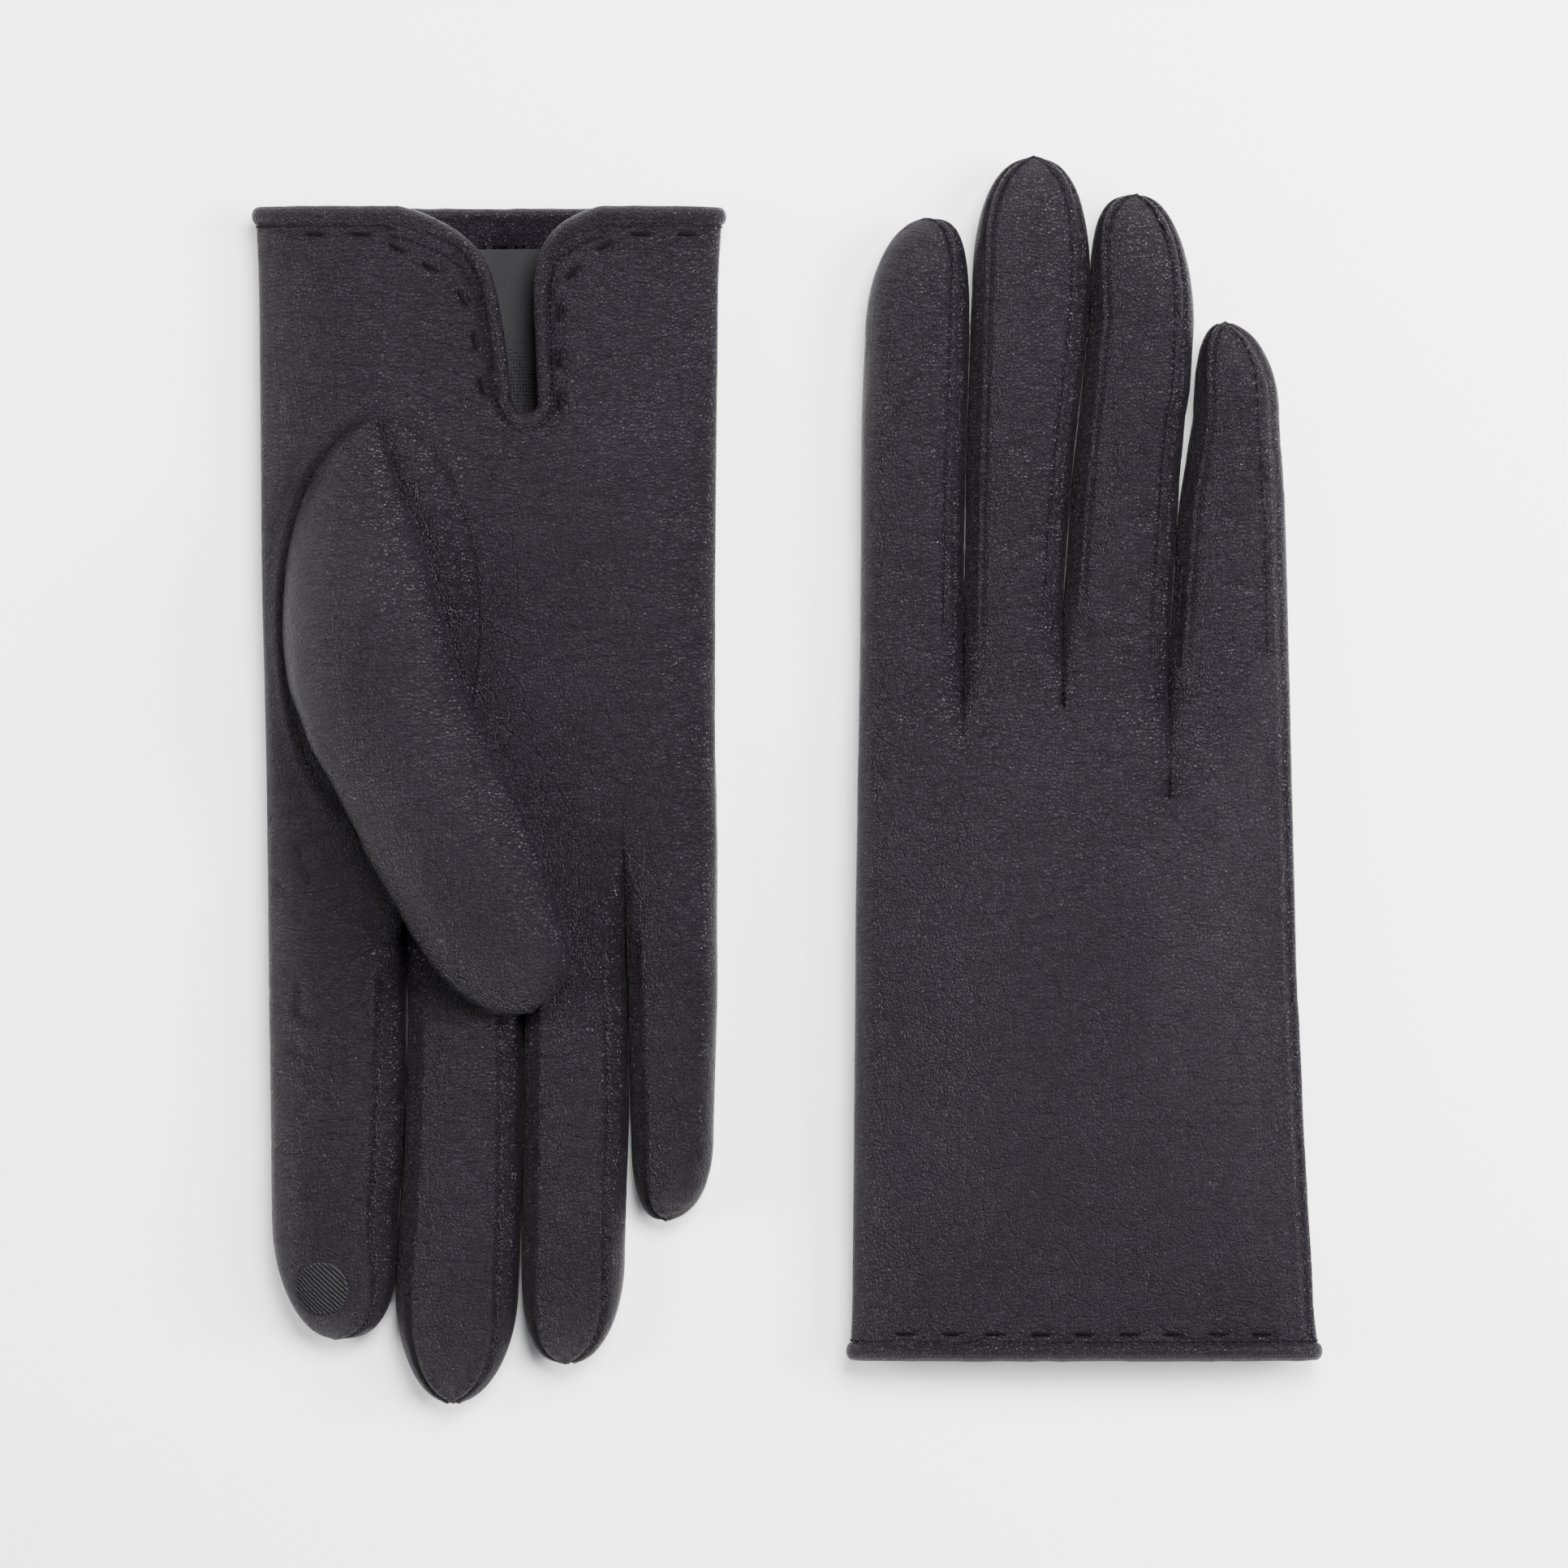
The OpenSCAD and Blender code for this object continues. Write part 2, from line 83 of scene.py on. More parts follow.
class SewingSettings(bpy.types.PropertyGroup):
    """Threads, seams and stitch pitches"""
    pitch: bpy.props.FloatProperty(name="Pitch", description="Machine stitch pitch, mm", default=1.45)
    thread: bpy.props.FloatProperty(name="Thread",
                                    description="Radius of the machine thread, mm", default=0.17)
    hem_pitch: bpy.props.FloatProperty(name="Hem pitch",
                                       description="Pitch of the hem stitches, mm", default=7.7)
    hem_length: bpy.props.FloatProperty(name="Hem stitch",
                                        description="Length of a hem stitch, mm", default=4.2)
    hem_thread: bpy.props.FloatProperty(name="Hem thread",
                                        description="Radius of the hem thread, mm", default=0.33)
    hem_row: bpy.props.FloatProperty(name="Hem row", description="Hem stitches from the binding's middle, mm",
                                     default=3.9)


class StageSettings(bpy.types.PropertyGroup):
    """Camera and light"""
    view_width: bpy.props.FloatProperty(name="View width", description="Width that the camera sees",
                                        default=0.3246, unit="LENGTH")
    camera_height: bpy.props.FloatProperty(name="Camera height", description="Height of the camera",
                                           default=1.6, unit="LENGTH")
    key_power: bpy.props.FloatProperty(name="Key",
                                       description="Power of the large soft light, W", default=19.0)


# --- Small maths ---
def smooth(t):
    """An ease from 0 to 1 as t goes from 0 to 1."""
    t = np.clip(t, 0, 1)
    return t * t * (3 - 2 * t)


def lerp(a, b, t):
    """The value a share t of the way from a to b."""
    return a + (b - a) * t


def round_off(u, power):
    """From 1 where a tip starts to round to 0 at the tip."""
    return (1 - np.clip(np.abs(u), 0, 1) ** power) ** (1 / power)


def along(points, y):
    """x at y on a gentle curve through the points, given as (y, x)."""
    p = np.array(points)
    return sum(np.interp(y + k, p[:, 0], p[:, 1]) for k in (-5, -2.5, 0, 2.5, 5)) / 5


def noise(x, y, seed=0):
    """Smooth noise from 0 to 1 over a plane, one cell per unit."""
    i, j = np.floor(x), np.floor(y)
    u, v = smooth(x - i), smooth(y - j)

    def corner(a, b):
        return np.modf(np.abs(np.sin(a * 127.1 + b * 311.7 + seed * 74.7) * 43758.5453))[0]

    return lerp(lerp(corner(i, j), corner(i + 1, j), u), lerp(corner(i, j + 1), corner(i + 1, j + 1), u), v)


def ridges(x, y, seed=0):
    """Narrow ridges from 0 to 1, as in creased leather."""
    wobble = noise(x * 0.7 + 9, y * 0.7, seed + 5)
    return (1 - np.abs(2 * noise(x + wobble, y - wobble, seed) - 1)) ** 4


def bell(d, width):
    """A bell-shaped hump: 1 at distance 0, and near 0 beyond twice the width."""
    return np.exp(-(d / width) ** 2)


# --- The two gloves, in the design frame ---
# Outer edges of a hand as (y, x), the ends of its slits as (x, y), and per finger: where the tip starts to
# round, the tip's x and y, the powers of its two edges, and the inner edges as (y, x).
PATTERNS = {
    "palm_up": {
        "left": [(0, -48.6), (15, -47.9), (80, -47.2), (115, -46.4), (160, -45.8), (210, -45.2)],
        "right": [(0, 48.7), (10, 47.6), (75, 47.0), (110, 46.9), (140, 47.3), (162, 47.5), (193, 46.6)],
        "slits": [(-17.1, 158.6), (7.1, 155.0), (28.1, 149.0)],
        "tips": [(209, -31.7, 235.0, 2.0, 3.0), (224, -7.5, 248.5, 2.1, 2.0), (218, 17.0, 240.1, 3.0, 2.0),
                 (193, 36.2, 210.5, 2.5, 2.2)],
        "inner": [[(158.6, -17.1), (175, -16.9), (209, -18.6)], [(158.6, -17.1), (197, -17.7), (224, -20.6)],
                  [(155, 7.1), (197, 6.6), (224, 5.8)], [(155, 7.1), (200, 7.2), (218, 7.1)],
                  [(149, 28.1), (185, 28.7), (218, 28.2)], [(149, 28.1), (165, 28.9), (193, 29.8)]],
        "seams": {PALM: [(3.0, 5.6), (2.7, 4.4), (2.6, 4.3), (2.6, 3.0)],
                  BACK: [(3.0, 2.6), (2.6, 2.6), (2.6, 2.6), (2.6, 3.0)]},
    },
    "back_up": {
        "left": [(0, -49.0), (8, -48.5), (47, -48.1), (90, -47.8), (140, -47.0), (200, -46.4), (213, -45.7)],
        "right": [(0, 48.8), (8, 47.6), (23, 46.6), (43, 45.6), (79, 43.9), (124, 42.8), (174, 41.7),
                  (196, 40.1)],
        "slits": [(-25.4, 148.3), (-4.8, 155.2), (17.1, 142.0)],
        "tips": [(212, -33.0, 237.1, 2.0, 3.5), (222, -11.0, 249.6, 2.3, 2.5), (215, 11.5, 241.9, 3.5, 2.0),
                 (196, 28.6, 215.3, 2.5, 2.0)],
        "inner": [[(148.3, -25.4), (185, -25.0), (212, -24.4)], [(148.3, -25.4), (185, -24.7), (222, -23.2)],
                  [(155.2, -4.8), (185, -2.9), (222, 0.9)], [(155.2, -4.8), (185, -2.4), (215, 1.2)],
                  [(142, 17.1), (182, 19.2), (215, 22.9)], [(142, 17.1), (175, 19.4), (196, 22.4)]],
        "seams": {PALM: [(3.0, 5.0), (2.7, 4.4), (2.6, 4.3), (2.6, 3.0)],
                  BACK: [(3.0, 2.5), (2.5, 2.4), (2.5, 2.4), (2.5, 3.0)]},
    },
}
# The thumb as (y, left edge, right edge) lying on the palm. Under the palm it is slacker along y.
THUMB = [(45.5, -27.0, -22.5), (49, -32.5, -20.8), (57.5, -38.6, -18.8), (70, -41.6, -13.8),
         (82, -42.2, -10.6),
         (99.5, -40.6, -4.8), (112, -36.6, 0.9), (125, -29.6, 7.2), (133, -25.6, 10.4), (141, -21.4, 13.4),
         (153, -14.3, 17.2), (158.6, -10.4, 17.0), (164.3, -5.0, 13.7), (167.4, 1.0, 7.6)]
OVAL_MIDDLE, OVAL_HALF = (-22.4, 86.8), (20.4, 42.6)
# Columns across one side of a finger: a fourchette, the panel and the other fourchette.
COLUMNS = (9, 40, 9)
VENT_END = (7.8, 40.7, 3.95)


class Glove:
    """Shapes one glove. All lengths are in millimetres, in the design frame."""

    def __init__(self, name):
        self.name = name
        self.g = SIDES.index(name)
        self.pattern = PATTERNS[name]
        cuffs = {m["name"]: m["pos_m"] for m in frame["record"]["mounts"]}
        self.cuff = np.array(cuffs[f"{name}_cuff"]) * 1000
        self.slack = (1.0, 0.72)[self.g]
        self.thumb_height = (9.4, 7.2)[self.g]

    def place(self, points):
        """From the design frame in mm to the row frame in metres."""
        turn = np.array([1, -1, 1] if self.g == 0 else [1, 1, -1])
        return (self.cuff + (np.asarray(points) - [0, 0, MID]) * turn) / 1000

    # The hand
    def hand_edges(self, y):
        """x of the left and right edges of the hand."""
        return along(self.pattern["left"], y), along(self.pattern["right"], y)

    def half(self, y):
        """Half the flat height of the hand: low at the cuff, full from y = 62 on."""
        return lerp(4.8, MID, smooth((y - 12) / 50))

    def dent(self, x, y):
        """How far the palm gives way over the thumb that lies under it."""
        if self.g == 0:
            return 0 * x
        end = 142.5
        across = smooth((x + 51) / 11) * smooth((38 - x) / 16)
        return 8.2 * across * smooth((y - 24) / 16) * smooth((end - y) / 12)

    def back_rise(self, x, y):
        """How far the back is lifted by the thumb under the palm."""
        if self.g == 0:
            return 0 * x
        across = smooth((x + 52) / 40) * smooth((38 - x) / 30)
        return 3.4 * across * smooth((y - 2) / 75) * smooth((162 - y) / 75)

    def share(self, x, y, depth=0.0):
        """How high the section stands over a point, from 0 at the sides to 1 in the middle."""
        left, right = self.hand_edges(y)
        return round_off((x - (left + right) / 2) / ((right - left) / 2 - depth), 3.0)

    def surface(self, side, x, y, depth=0.0):
        """z of the hand's skin, depth under it."""
        share = self.share(x, y, depth)
        h = (self.half(y) - depth) * share
        if side == PALM:
            return MID + h - self.dent(x, y) * (0.81 + 0.19 * share)
        return MID - h - self.back_rise(x, y) * share - self.dent(x, y) * 0.81 * (1 - share)

    def thumb_y(self, y):
        """y of a point of the thumb, drawn in on the glove whose thumb is tucked under."""
        return 44 + (y - 44) * self.slack

    # The fingers
    def slit(self, k):
        """(x, y) of the slit on the left of finger k, or the hand's edge."""
        slits = self.pattern["slits"]
        if k == 0:
            return None, slits[0][1] - 1
        if k == 4:
            return None, slits[2][1] - 1
        return slits[k - 1]

    def finger_edge(self, i, y, right):
        """An edge of a finger or, nearer the cuff than its slit, of the hand's lane that leads to it."""
        start, tip_x, tip_y, power_left, power_right = self.pattern["tips"][i]
        k = i + right
        flat = np.minimum(y, start)
        if k == 0:
            x = along(self.pattern["left"], flat)
        elif k == 4:
            x = along(self.pattern["right"], flat)
        else:
            slit_x, slit_y = self.slit(k)
            lo, hi = self.hand_edges(y)
            lo_slit, hi_slit = self.hand_edges(np.array(float(slit_y)))
            lane = lerp(lo, hi, (slit_x - lo_slit) / (hi_slit - lo_slit))
            pair = [np.array(self.pattern["inner"][2 * k - 2 + n]) for n in (0, 1)]
            near, far = [np.interp(flat, p[:, 0], p[:, 1]) for p in pair]
            closed = 1 - smooth((far - near - 0.8) / 1.0)
            free = lerp(near if right else far, (near + far) / 2, closed)
            gap = 0.07 * smooth((y - slit_y) / 9) * (-1 if right else 1)
            x = np.where(y < slit_y, lane, free + gap)
        u = (y - start) / (tip_y - start)
        power = power_right if right else power_left
        return np.where(y > start, tip_x + (x - tip_x) * round_off(np.maximum(u, 0), power), x)

    def finger_half(self, i, y):
        """Half the height of a finger, rounding off to nothing at its tip."""
        start, _, tip_y = self.pattern["tips"][i][:3]
        full = 5.2 if i == 3 else MID
        u = np.maximum((y - start) / (tip_y - start), 0)
        return full * round_off(u, 2.3)

    def columns(self, i, side, y):
        """Angles from -90 to 90 degrees across a finger, with a column on each seam."""
        left = self.finger_edge(i, y, False)
        right = self.finger_edge(i, y, True)
        half = (right - left) / 2
        start, _, tip_y = self.pattern["tips"][i][:3]
        narrow = 1 - 0.55 * smooth((y - start) / (tip_y - start))
        inset = [v * narrow for v in self.pattern["seams"][side][i]]
        seams = [np.arcsin(np.clip(1 - v / np.maximum(half, 0.2), 0.3, 0.98)) for v in inset]
        edges = [-np.pi / 2 + 0 * y, -seams[0], seams[1], np.pi / 2 + 0 * y]
        parts = []
        for k, count in enumerate(COLUMNS):
            t = np.linspace(0, 1, count, endpoint=False)
            parts.append(edges[k][:, None] + (edges[k + 1] - edges[k])[:, None] * t)
        return np.concatenate(parts + [edges[3][:, None]], axis=1)

    def slit_rows(self, i):
        """y of the last hand row in each column of finger i."""
        y = np.array([self.slit(i)[1], self.slit(i + 1)[1]], float)
        shares = np.sin(np.linspace(-np.pi / 2, np.pi / 2, sum(COLUMNS) + 1))
        return lerp(y[0], y[1], (shares + 1) / 2)

    def grid(self, i, side, y, depth=0.0):
        """Points of finger i's side of the glove: y has one value per row and column."""
        rows = y.mean(axis=1)
        theta = self.columns(i, side, rows)
        left = self.finger_edge(i, y, False)
        right = self.finger_edge(i, y, True)
        share = np.sin(theta)
        insets = [depth * (1 if k in (0, 4) else smooth((y - self.slit(k)[1] + 2) / 4)) for k in (i, i + 1)]
        left, right = left + insets[0], right - insets[1]
        room = np.maximum((right - left) / 2, 0.05)
        x = (left + right) / 2 + room * share
        finger = np.maximum(self.finger_half(i, y) - depth, 0.02) * round_off(share, 2.5)
        sink = MID - lerp(MID, 5.2 if i == 3 else MID, 0.6)
        finger_z = MID + side * finger - sink * (1 if self.g == 0 else -1)
        hand_z = self.surface(side, x, y, depth)
        part = smooth((y - (self.slit_rows(i) - 30)) / 30) ** 1.8
        return np.stack([x, y, lerp(hand_z, finger_z, part)], axis=-1), share

    # The thumb
    def thumb_edges(self, y):
        """x of the two edges of the thumb, which meet at its tip."""
        p = np.array(THUMB)
        tip = 167.9
        inside = np.minimum(y, p[-1, 0])
        left = sum(np.interp(inside + k, p[:, 0], p[:, 1]) for k in (-2, -1, 0, 1, 2)) / 5
        right = sum(np.interp(inside + k, p[:, 0], p[:, 2]) for k in (-2, -1, 0, 1, 2)) / 5
        u = np.clip((y - p[-1, 0]) / (tip - p[-1, 0]), 0, 1)
        return lerp(left, 4.3, u * 0.9), lerp(right, 4.3, u * 0.9)


def cuff_path(glove, grow, cuff_y, depth, spacing=0.5):
    """Points and outward directions round the cuff and down the vent, grow outside the binding's middle."""
    end_x, end_y, end_r = VENT_END

    def inner(y, side):
        if side < 0:
            return 0.2 + 0.12 * y - 22 * np.exp(-y / 4.6)
        return 8.4 + 0.045 * y + 17 * np.exp(-y / 3.9)

    t = np.linspace(0, 1, 220) ** 1.7
    down = cuff_y + (end_y - cuff_y) * t
    arms = []
    for side in (-1, 1):
        x = inner(down - cuff_y + 0.9, side) + side * 1.5
        arm = np.stack([x, down], axis=1)
        tangent = np.gradient(arm, axis=0)
        tangent /= np.linalg.norm(tangent, axis=1)[:, None]
        normal = np.stack([tangent[:, 1], -tangent[:, 0]], axis=1) * side
        arms.append(arm + normal * grow)
    angles = np.radians(np.linspace(170, 10, 60))
    turn = np.stack([end_x + (end_r + grow) * np.cos(angles),
                     end_y + (end_r + grow) * np.sin(angles)], axis=1)
    vent = np.concatenate([arms[0], turn, arms[1][::-1]])
    vent = vent[vent[:, 1] >= cuff_y - 0.01]
    vent_z = glove.surface(PALM, vent[:, 0], vent[:, 1], 0) - depth
    vent3 = np.stack([vent[:, 0], vent[:, 1], vent_z], axis=1)
    out = np.tile([0.0, 0.0, 1.0], (len(vent3), 1))
    y = np.array(float(cuff_y))
    left, right = glove.hand_edges(y)
    half = (right - left) / 2 - depth
    high = glove.half(y) - depth
    middle = (left + right) / 2
    a_right = math.acos(np.clip((vent[-1, 0] - middle) / half, -1, 1) ** 1.5)
    share = (vent[0, 0] - middle) / half
    a_left = math.acos(math.copysign(abs(share) ** 1.5, share))
    a = np.linspace(a_right, a_left - 2 * math.pi, 700)
    c, s = np.cos(a), np.sin(a)
    ring = np.stack([middle + half * np.sign(c) * np.abs(c) ** (2 / 3), cuff_y + 0 * a,
                     MID + high * np.sign(s) * np.abs(s) ** (2 / 3)], axis=1)
    ring_out = np.stack([np.sign(c) * np.abs(c) ** (4 / 3) / half, 0 * a,
                         np.sign(s) * np.abs(s) ** (4 / 3) / high], axis=1)
    ring_out /= np.linalg.norm(ring_out, axis=1)[:, None]
    points = np.concatenate([vent3, ring[1:-1]])
    outs = np.concatenate([out, ring_out[1:-1]])
    step = np.linalg.norm(np.roll(points, -1, axis=0) - points, axis=1)
    length = np.concatenate([[0], np.cumsum(step)])
    count = int(length[-1] / spacing)
    at = np.linspace(0, length[-1], count, endpoint=False)
    closed = np.concatenate([points, points[:1]])
    closed_out = np.concatenate([outs, outs[:1]])
    even = np.stack([np.interp(at, length, closed[:, k]) for k in range(3)], axis=1)
    even_out = np.stack([np.interp(at, length, closed_out[:, k]) for k in range(3)], axis=1)
    return even, even_out / np.linalg.norm(even_out, axis=1)[:, None]


def in_vent(points, grow=0.0):
    """True where a point of the palm side lies inside the binding's middle line."""
    x, y = points[..., 0], points[..., 1]
    end_x, end_y, end_r = VENT_END
    left = 0.2 + 0.12 * y - 22 * np.exp(-np.maximum(y - 1, 0) / 4.6) - 1.5
    right = 8.4 + 0.045 * y + 17 * np.exp(-np.maximum(y - 1, 0) / 3.9) + 1.5
    throat = (x > left - grow) & (x < right + grow) & (y < end_y)
    return throat | ((x - end_x) ** 2 + (y - end_y) ** 2 < (end_r + grow) ** 2)


# --- Mesh making ---
def corner_normals(points, faces):
    """Area-weighted vertex normals."""
    a, b, c, d = (points[faces[:, k]] for k in range(4))
    n = np.cross(c - a, d - b)
    total = np.zeros_like(points)
    for k in range(4):
        np.add.at(total, faces[:, k], n)
    length = np.linalg.norm(total, axis=1)
    return total / np.maximum(length, 1e-12)[:, None]


def grid_faces(rows, cols, start=0, wrap=False):
    """Quads of a grid of points, closed across its columns if wrap is set."""
    r = np.arange(rows - 1)[:, None] * cols
    c = np.arange(cols if wrap else cols - 1)
    nxt = (c + 1) % cols
    quads = np.stack([r + c, r + nxt, r + cols + nxt, r + cols + c], axis=-1)
    return quads.reshape(-1, 4) + start


class Solid:
    """A closed leather shell from an outer skin: outer points, quads and shared normals."""

    def __init__(self, points, faces, normals, thickness):
        used = np.unique(faces)
        index = np.full(len(points), -1)
        index[used] = np.arange(len(used))
        outer = points[used]
        normals = normals[used]
        quads = index[faces]
        edges = np.concatenate([quads[:, [k, (k + 1) % 4]] for k in range(4)])
        key = np.sort(edges, axis=1)
        _, first, count = np.unique(key, axis=0, return_index=True, return_counts=True)
        rim = edges[first[count == 1]]
        n = len(outer)
        side = np.stack([rim[:, 1], rim[:, 0], rim[:, 0] + n, rim[:, 1] + n], axis=1)
        self.points = np.concatenate([outer, outer - normals * thickness])
        self.faces = np.concatenate([quads, quads[:, ::-1] + n, side])
        self.normals = np.concatenate([normals, -normals])


def new_mesh(name, points, faces, normals=None, smooth_faces=True):
    """points in metres; faces is an array of quads or triangles, or a list of polygons."""
    mesh = bpy.data.meshes.new(name)
    polygons = faces.tolist() if isinstance(faces, np.ndarray) else faces
    mesh.from_pydata(points.tolist(), [], polygons)
    mesh.polygons.foreach_set("use_smooth", [smooth_faces] * len(mesh.polygons))
    mesh.update()
    if normals is not None:
        mesh.normals_split_custom_set_from_vertices(normals.tolist())
    obj = bpy.data.objects.new(name, mesh)
    bpy.context.scene.collection.objects.link(obj)
    return obj


def show(glove, name, points, faces, material, body, normals=None, stands_for=(), bend=None):
    """Makes a glove piece from the design frame, dresses it and, unless bend is given, hands it to its body.
    """
    faces = faces[:, ::-1] if isinstance(faces, np.ndarray) else [f[::-1] for f in faces]
    if normals is not None:
        normals = normals * ([1, -1, 1] if glove.g == 0 else [1, 1, -1])
    obj = new_mesh(f"{glove.name}_{name}", glove.place(points), faces, normals)
    obj.data.materials.append(material)
    for node in stands_for:
        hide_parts(f"{glove.name}_{node}")
    if bend is None:
        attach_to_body(obj, f"{glove.name}_{body}")
    else:
        start, end = (glove.place(p) for p in bend)
        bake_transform(obj)
    return obj


def tube(points, outs, wide, high, sides=14, bumps=0.0):
    """An oval tube along points: wide across the surface, high away from it."""
    n = len(points)
    tangent = np.roll(points, -1, axis=0) - np.roll(points, 1, axis=0)
    tangent /= np.linalg.norm(tangent, axis=1)[:, None]
    across = np.cross(tangent, outs)
    across /= np.linalg.norm(across, axis=1)[:, None]
    up = np.cross(across, tangent)
    a = np.linspace(0, 2 * math.pi, sides, endpoint=False)
    run = np.arange(n)[:, None] * 0.5
    swell = 1 + bumps * (noise(run / 3.1, a[None, :] * 0.8, 3) - 0.5)
    wide = np.broadcast_to(np.asarray(wide, float), (n,))[:, None]
    high = np.broadcast_to(np.asarray(high, float), (n,))[:, None]
    flat = wide * np.cos(a)[None, :] * swell
    tall = high * np.sin(a)[None, :] * swell
    ring = points[:, None, :] + flat[..., None] * across[:, None, :] + tall[..., None] * up[:, None, :]
    faces = grid_faces(n + 1, sides, wrap=True) % (n * sides)
    return ring.reshape(-1, 3), faces


def capsules(middles, directions, ups, length, radius, sides=6):
    """Short round-ended threads, one per middle."""
    profile = np.array([(-0.5, 0.05), (-0.46, 0.6), (-0.3, 1.0), (0.3, 1.0), (0.46, 0.6), (0.5, 0.05)])
    a = np.linspace(0, 2 * math.pi, sides, endpoint=False)
    across = np.cross(directions, ups)
    across /= np.maximum(np.linalg.norm(across, axis=1), 1e-9)[:, None]
    ups = np.cross(across, directions)
    rings = []
    for step, size in profile:
        centre = middles + directions * step * length
        rings.append(centre[:, None, :] + radius * size * (np.cos(a)[None, :, None] * across[:, None, :]
                                                            + np.sin(a)[None, :, None] * ups[:, None, :]))
    points = np.stack(rings, axis=1).reshape(-1, 3)
    per = len(profile) * sides
    one = grid_faces(len(profile), sides, wrap=True)
    faces = [(f + k * per).tolist() for k in range(len(middles)) for f in one]
    for k in range(len(middles)):
        faces.append([k * per + j for j in range(sides)][::-1])
        faces.append([k * per + per - sides + j for j in range(sides)])
    return points, faces


def walk(points, outs, pitch, keep=None):
    """Middles, directions and outward directions of stitches every pitch along an even closed path."""
    step = np.linalg.norm(points[1] - points[0])
    count = int(len(points) * step / pitch)
    at = (np.arange(count) * len(points) / count).astype(int)
    direction = np.roll(points, -2, axis=0) - np.roll(points, 2, axis=0)
    direction /= np.linalg.norm(direction, axis=1)[:, None]
    if keep is not None:
        at = at[keep(points[at])]
    return points[at], direction[at], outs[at]


# --- Materials ---
class Value:
    """A shader socket that can be added, multiplied and so on."""

    def __init__(self, tree, socket):
        self.tree, self.socket = tree, socket

    def _math(self, operation, *values):
        return self.tree.node("ShaderNodeMath", {"operation": operation}, dict(enumerate(values)))

    def __add__(self, other):
        return self._math("ADD", self, other)

    def __radd__(self, other):
        return self._math("ADD", other, self)

    def __sub__(self, other):
        return self._math("SUBTRACT", self, other)

    def __rsub__(self, other):
        return self._math("SUBTRACT", other, self)

    def __mul__(self, other):
        return self._math("MULTIPLY", self, other)

    def __rmul__(self, other):
        return self._math("MULTIPLY", other, self)

    def __truediv__(self, other):
        return self._math("DIVIDE", self, other)

    def least(self, other):
        return self._math("MINIMUM", self, other)


class Shader:
    """A material's node tree, built in code."""

    def __init__(self, name):
        self.material = bpy.data.materials.new(name)
        self.material.use_nodes = True
        self.tree = self.material.node_tree
        self.principled = self.tree.nodes["Principled BSDF"]

    def node(self, kind, settings=None, inputs=None, output=0):
        n = self.tree.nodes.new(kind)
        for key, value in (settings or {}).items():
            setattr(n, key, value)
        for key, value in (inputs or {}).items():
            self.put(n.inputs[key], value)
        return Value(self, n.outputs[output])

    def put(self, socket, value):
        if isinstance(value, Value):
            self.tree.links.new(value.socket, socket)
        else:
            socket.default_value = value

    def place(self, stretch=(1, 1, 1)):
        """The point being shaded, in millimetres, stretched along each axis."""
        point = self.node("ShaderNodeTexCoord", output="Object")
        scale = tuple(1000 * s for s in stretch)
        return self.node("ShaderNodeVectorMath", {"operation": "MULTIPLY"}, {0: point, 1: scale})

    def noise(self, point, scale, detail=2.0, roughness=0.5, distortion=0.0):
        return self.node("ShaderNodeTexNoise", {}, {"Vector": point, "Scale": scale, "Detail": detail,
                                                    "Roughness": roughness, "Distortion": distortion})

    def cells(self, point, scale, feature="DISTANCE_TO_EDGE", randomness=1.0):
        return self.node("ShaderNodeTexVoronoi", {"feature": feature},
                         {"Vector": point, "Scale": scale, "Randomness": randomness},
                         output="Distance")

    def blend(self, factor, a, b):
        mix = self.tree.nodes.new("ShaderNodeMix")
        mix.data_type = "RGBA"
        self.put(mix.inputs["Factor"], factor)
        self.put(mix.inputs["A"], (*a, 1) if isinstance(a, tuple) else a)
        self.put(mix.inputs["B"], (*b, 1) if isinstance(b, tuple) else b)
        return Value(self, mix.outputs["Result"])

    def bend(self, point, amount, scale):
        """The point, shifted a little by noise."""
        shift = self.node("ShaderNodeTexNoise", {}, {"Vector": point, "Scale": scale}, output="Color")
        middle = self.node("ShaderNodeVectorMath", {"operation": "SUBTRACT"}, {0: shift, 1: (0.5, 0.5, 0.5)})
        scaled = self.node("ShaderNodeVectorMath", {"operation": "SCALE"}, {0: middle, "Scale": amount})
        return self.node("ShaderNodeVectorMath", {"operation": "ADD"}, {0: point, 1: scaled})

    def finish(self, height, distance, strength=1.0, **values):
        bump = self.node("ShaderNodeBump", {}, {"Height": height, "Distance": distance, "Strength": strength})
        for key, value in values.items():
            self.put(self.principled.inputs[key.replace("_", " ").title().replace("Ior", "IOR")], value)
        self.put(self.principled.inputs["Normal"], bump)
        return self.material


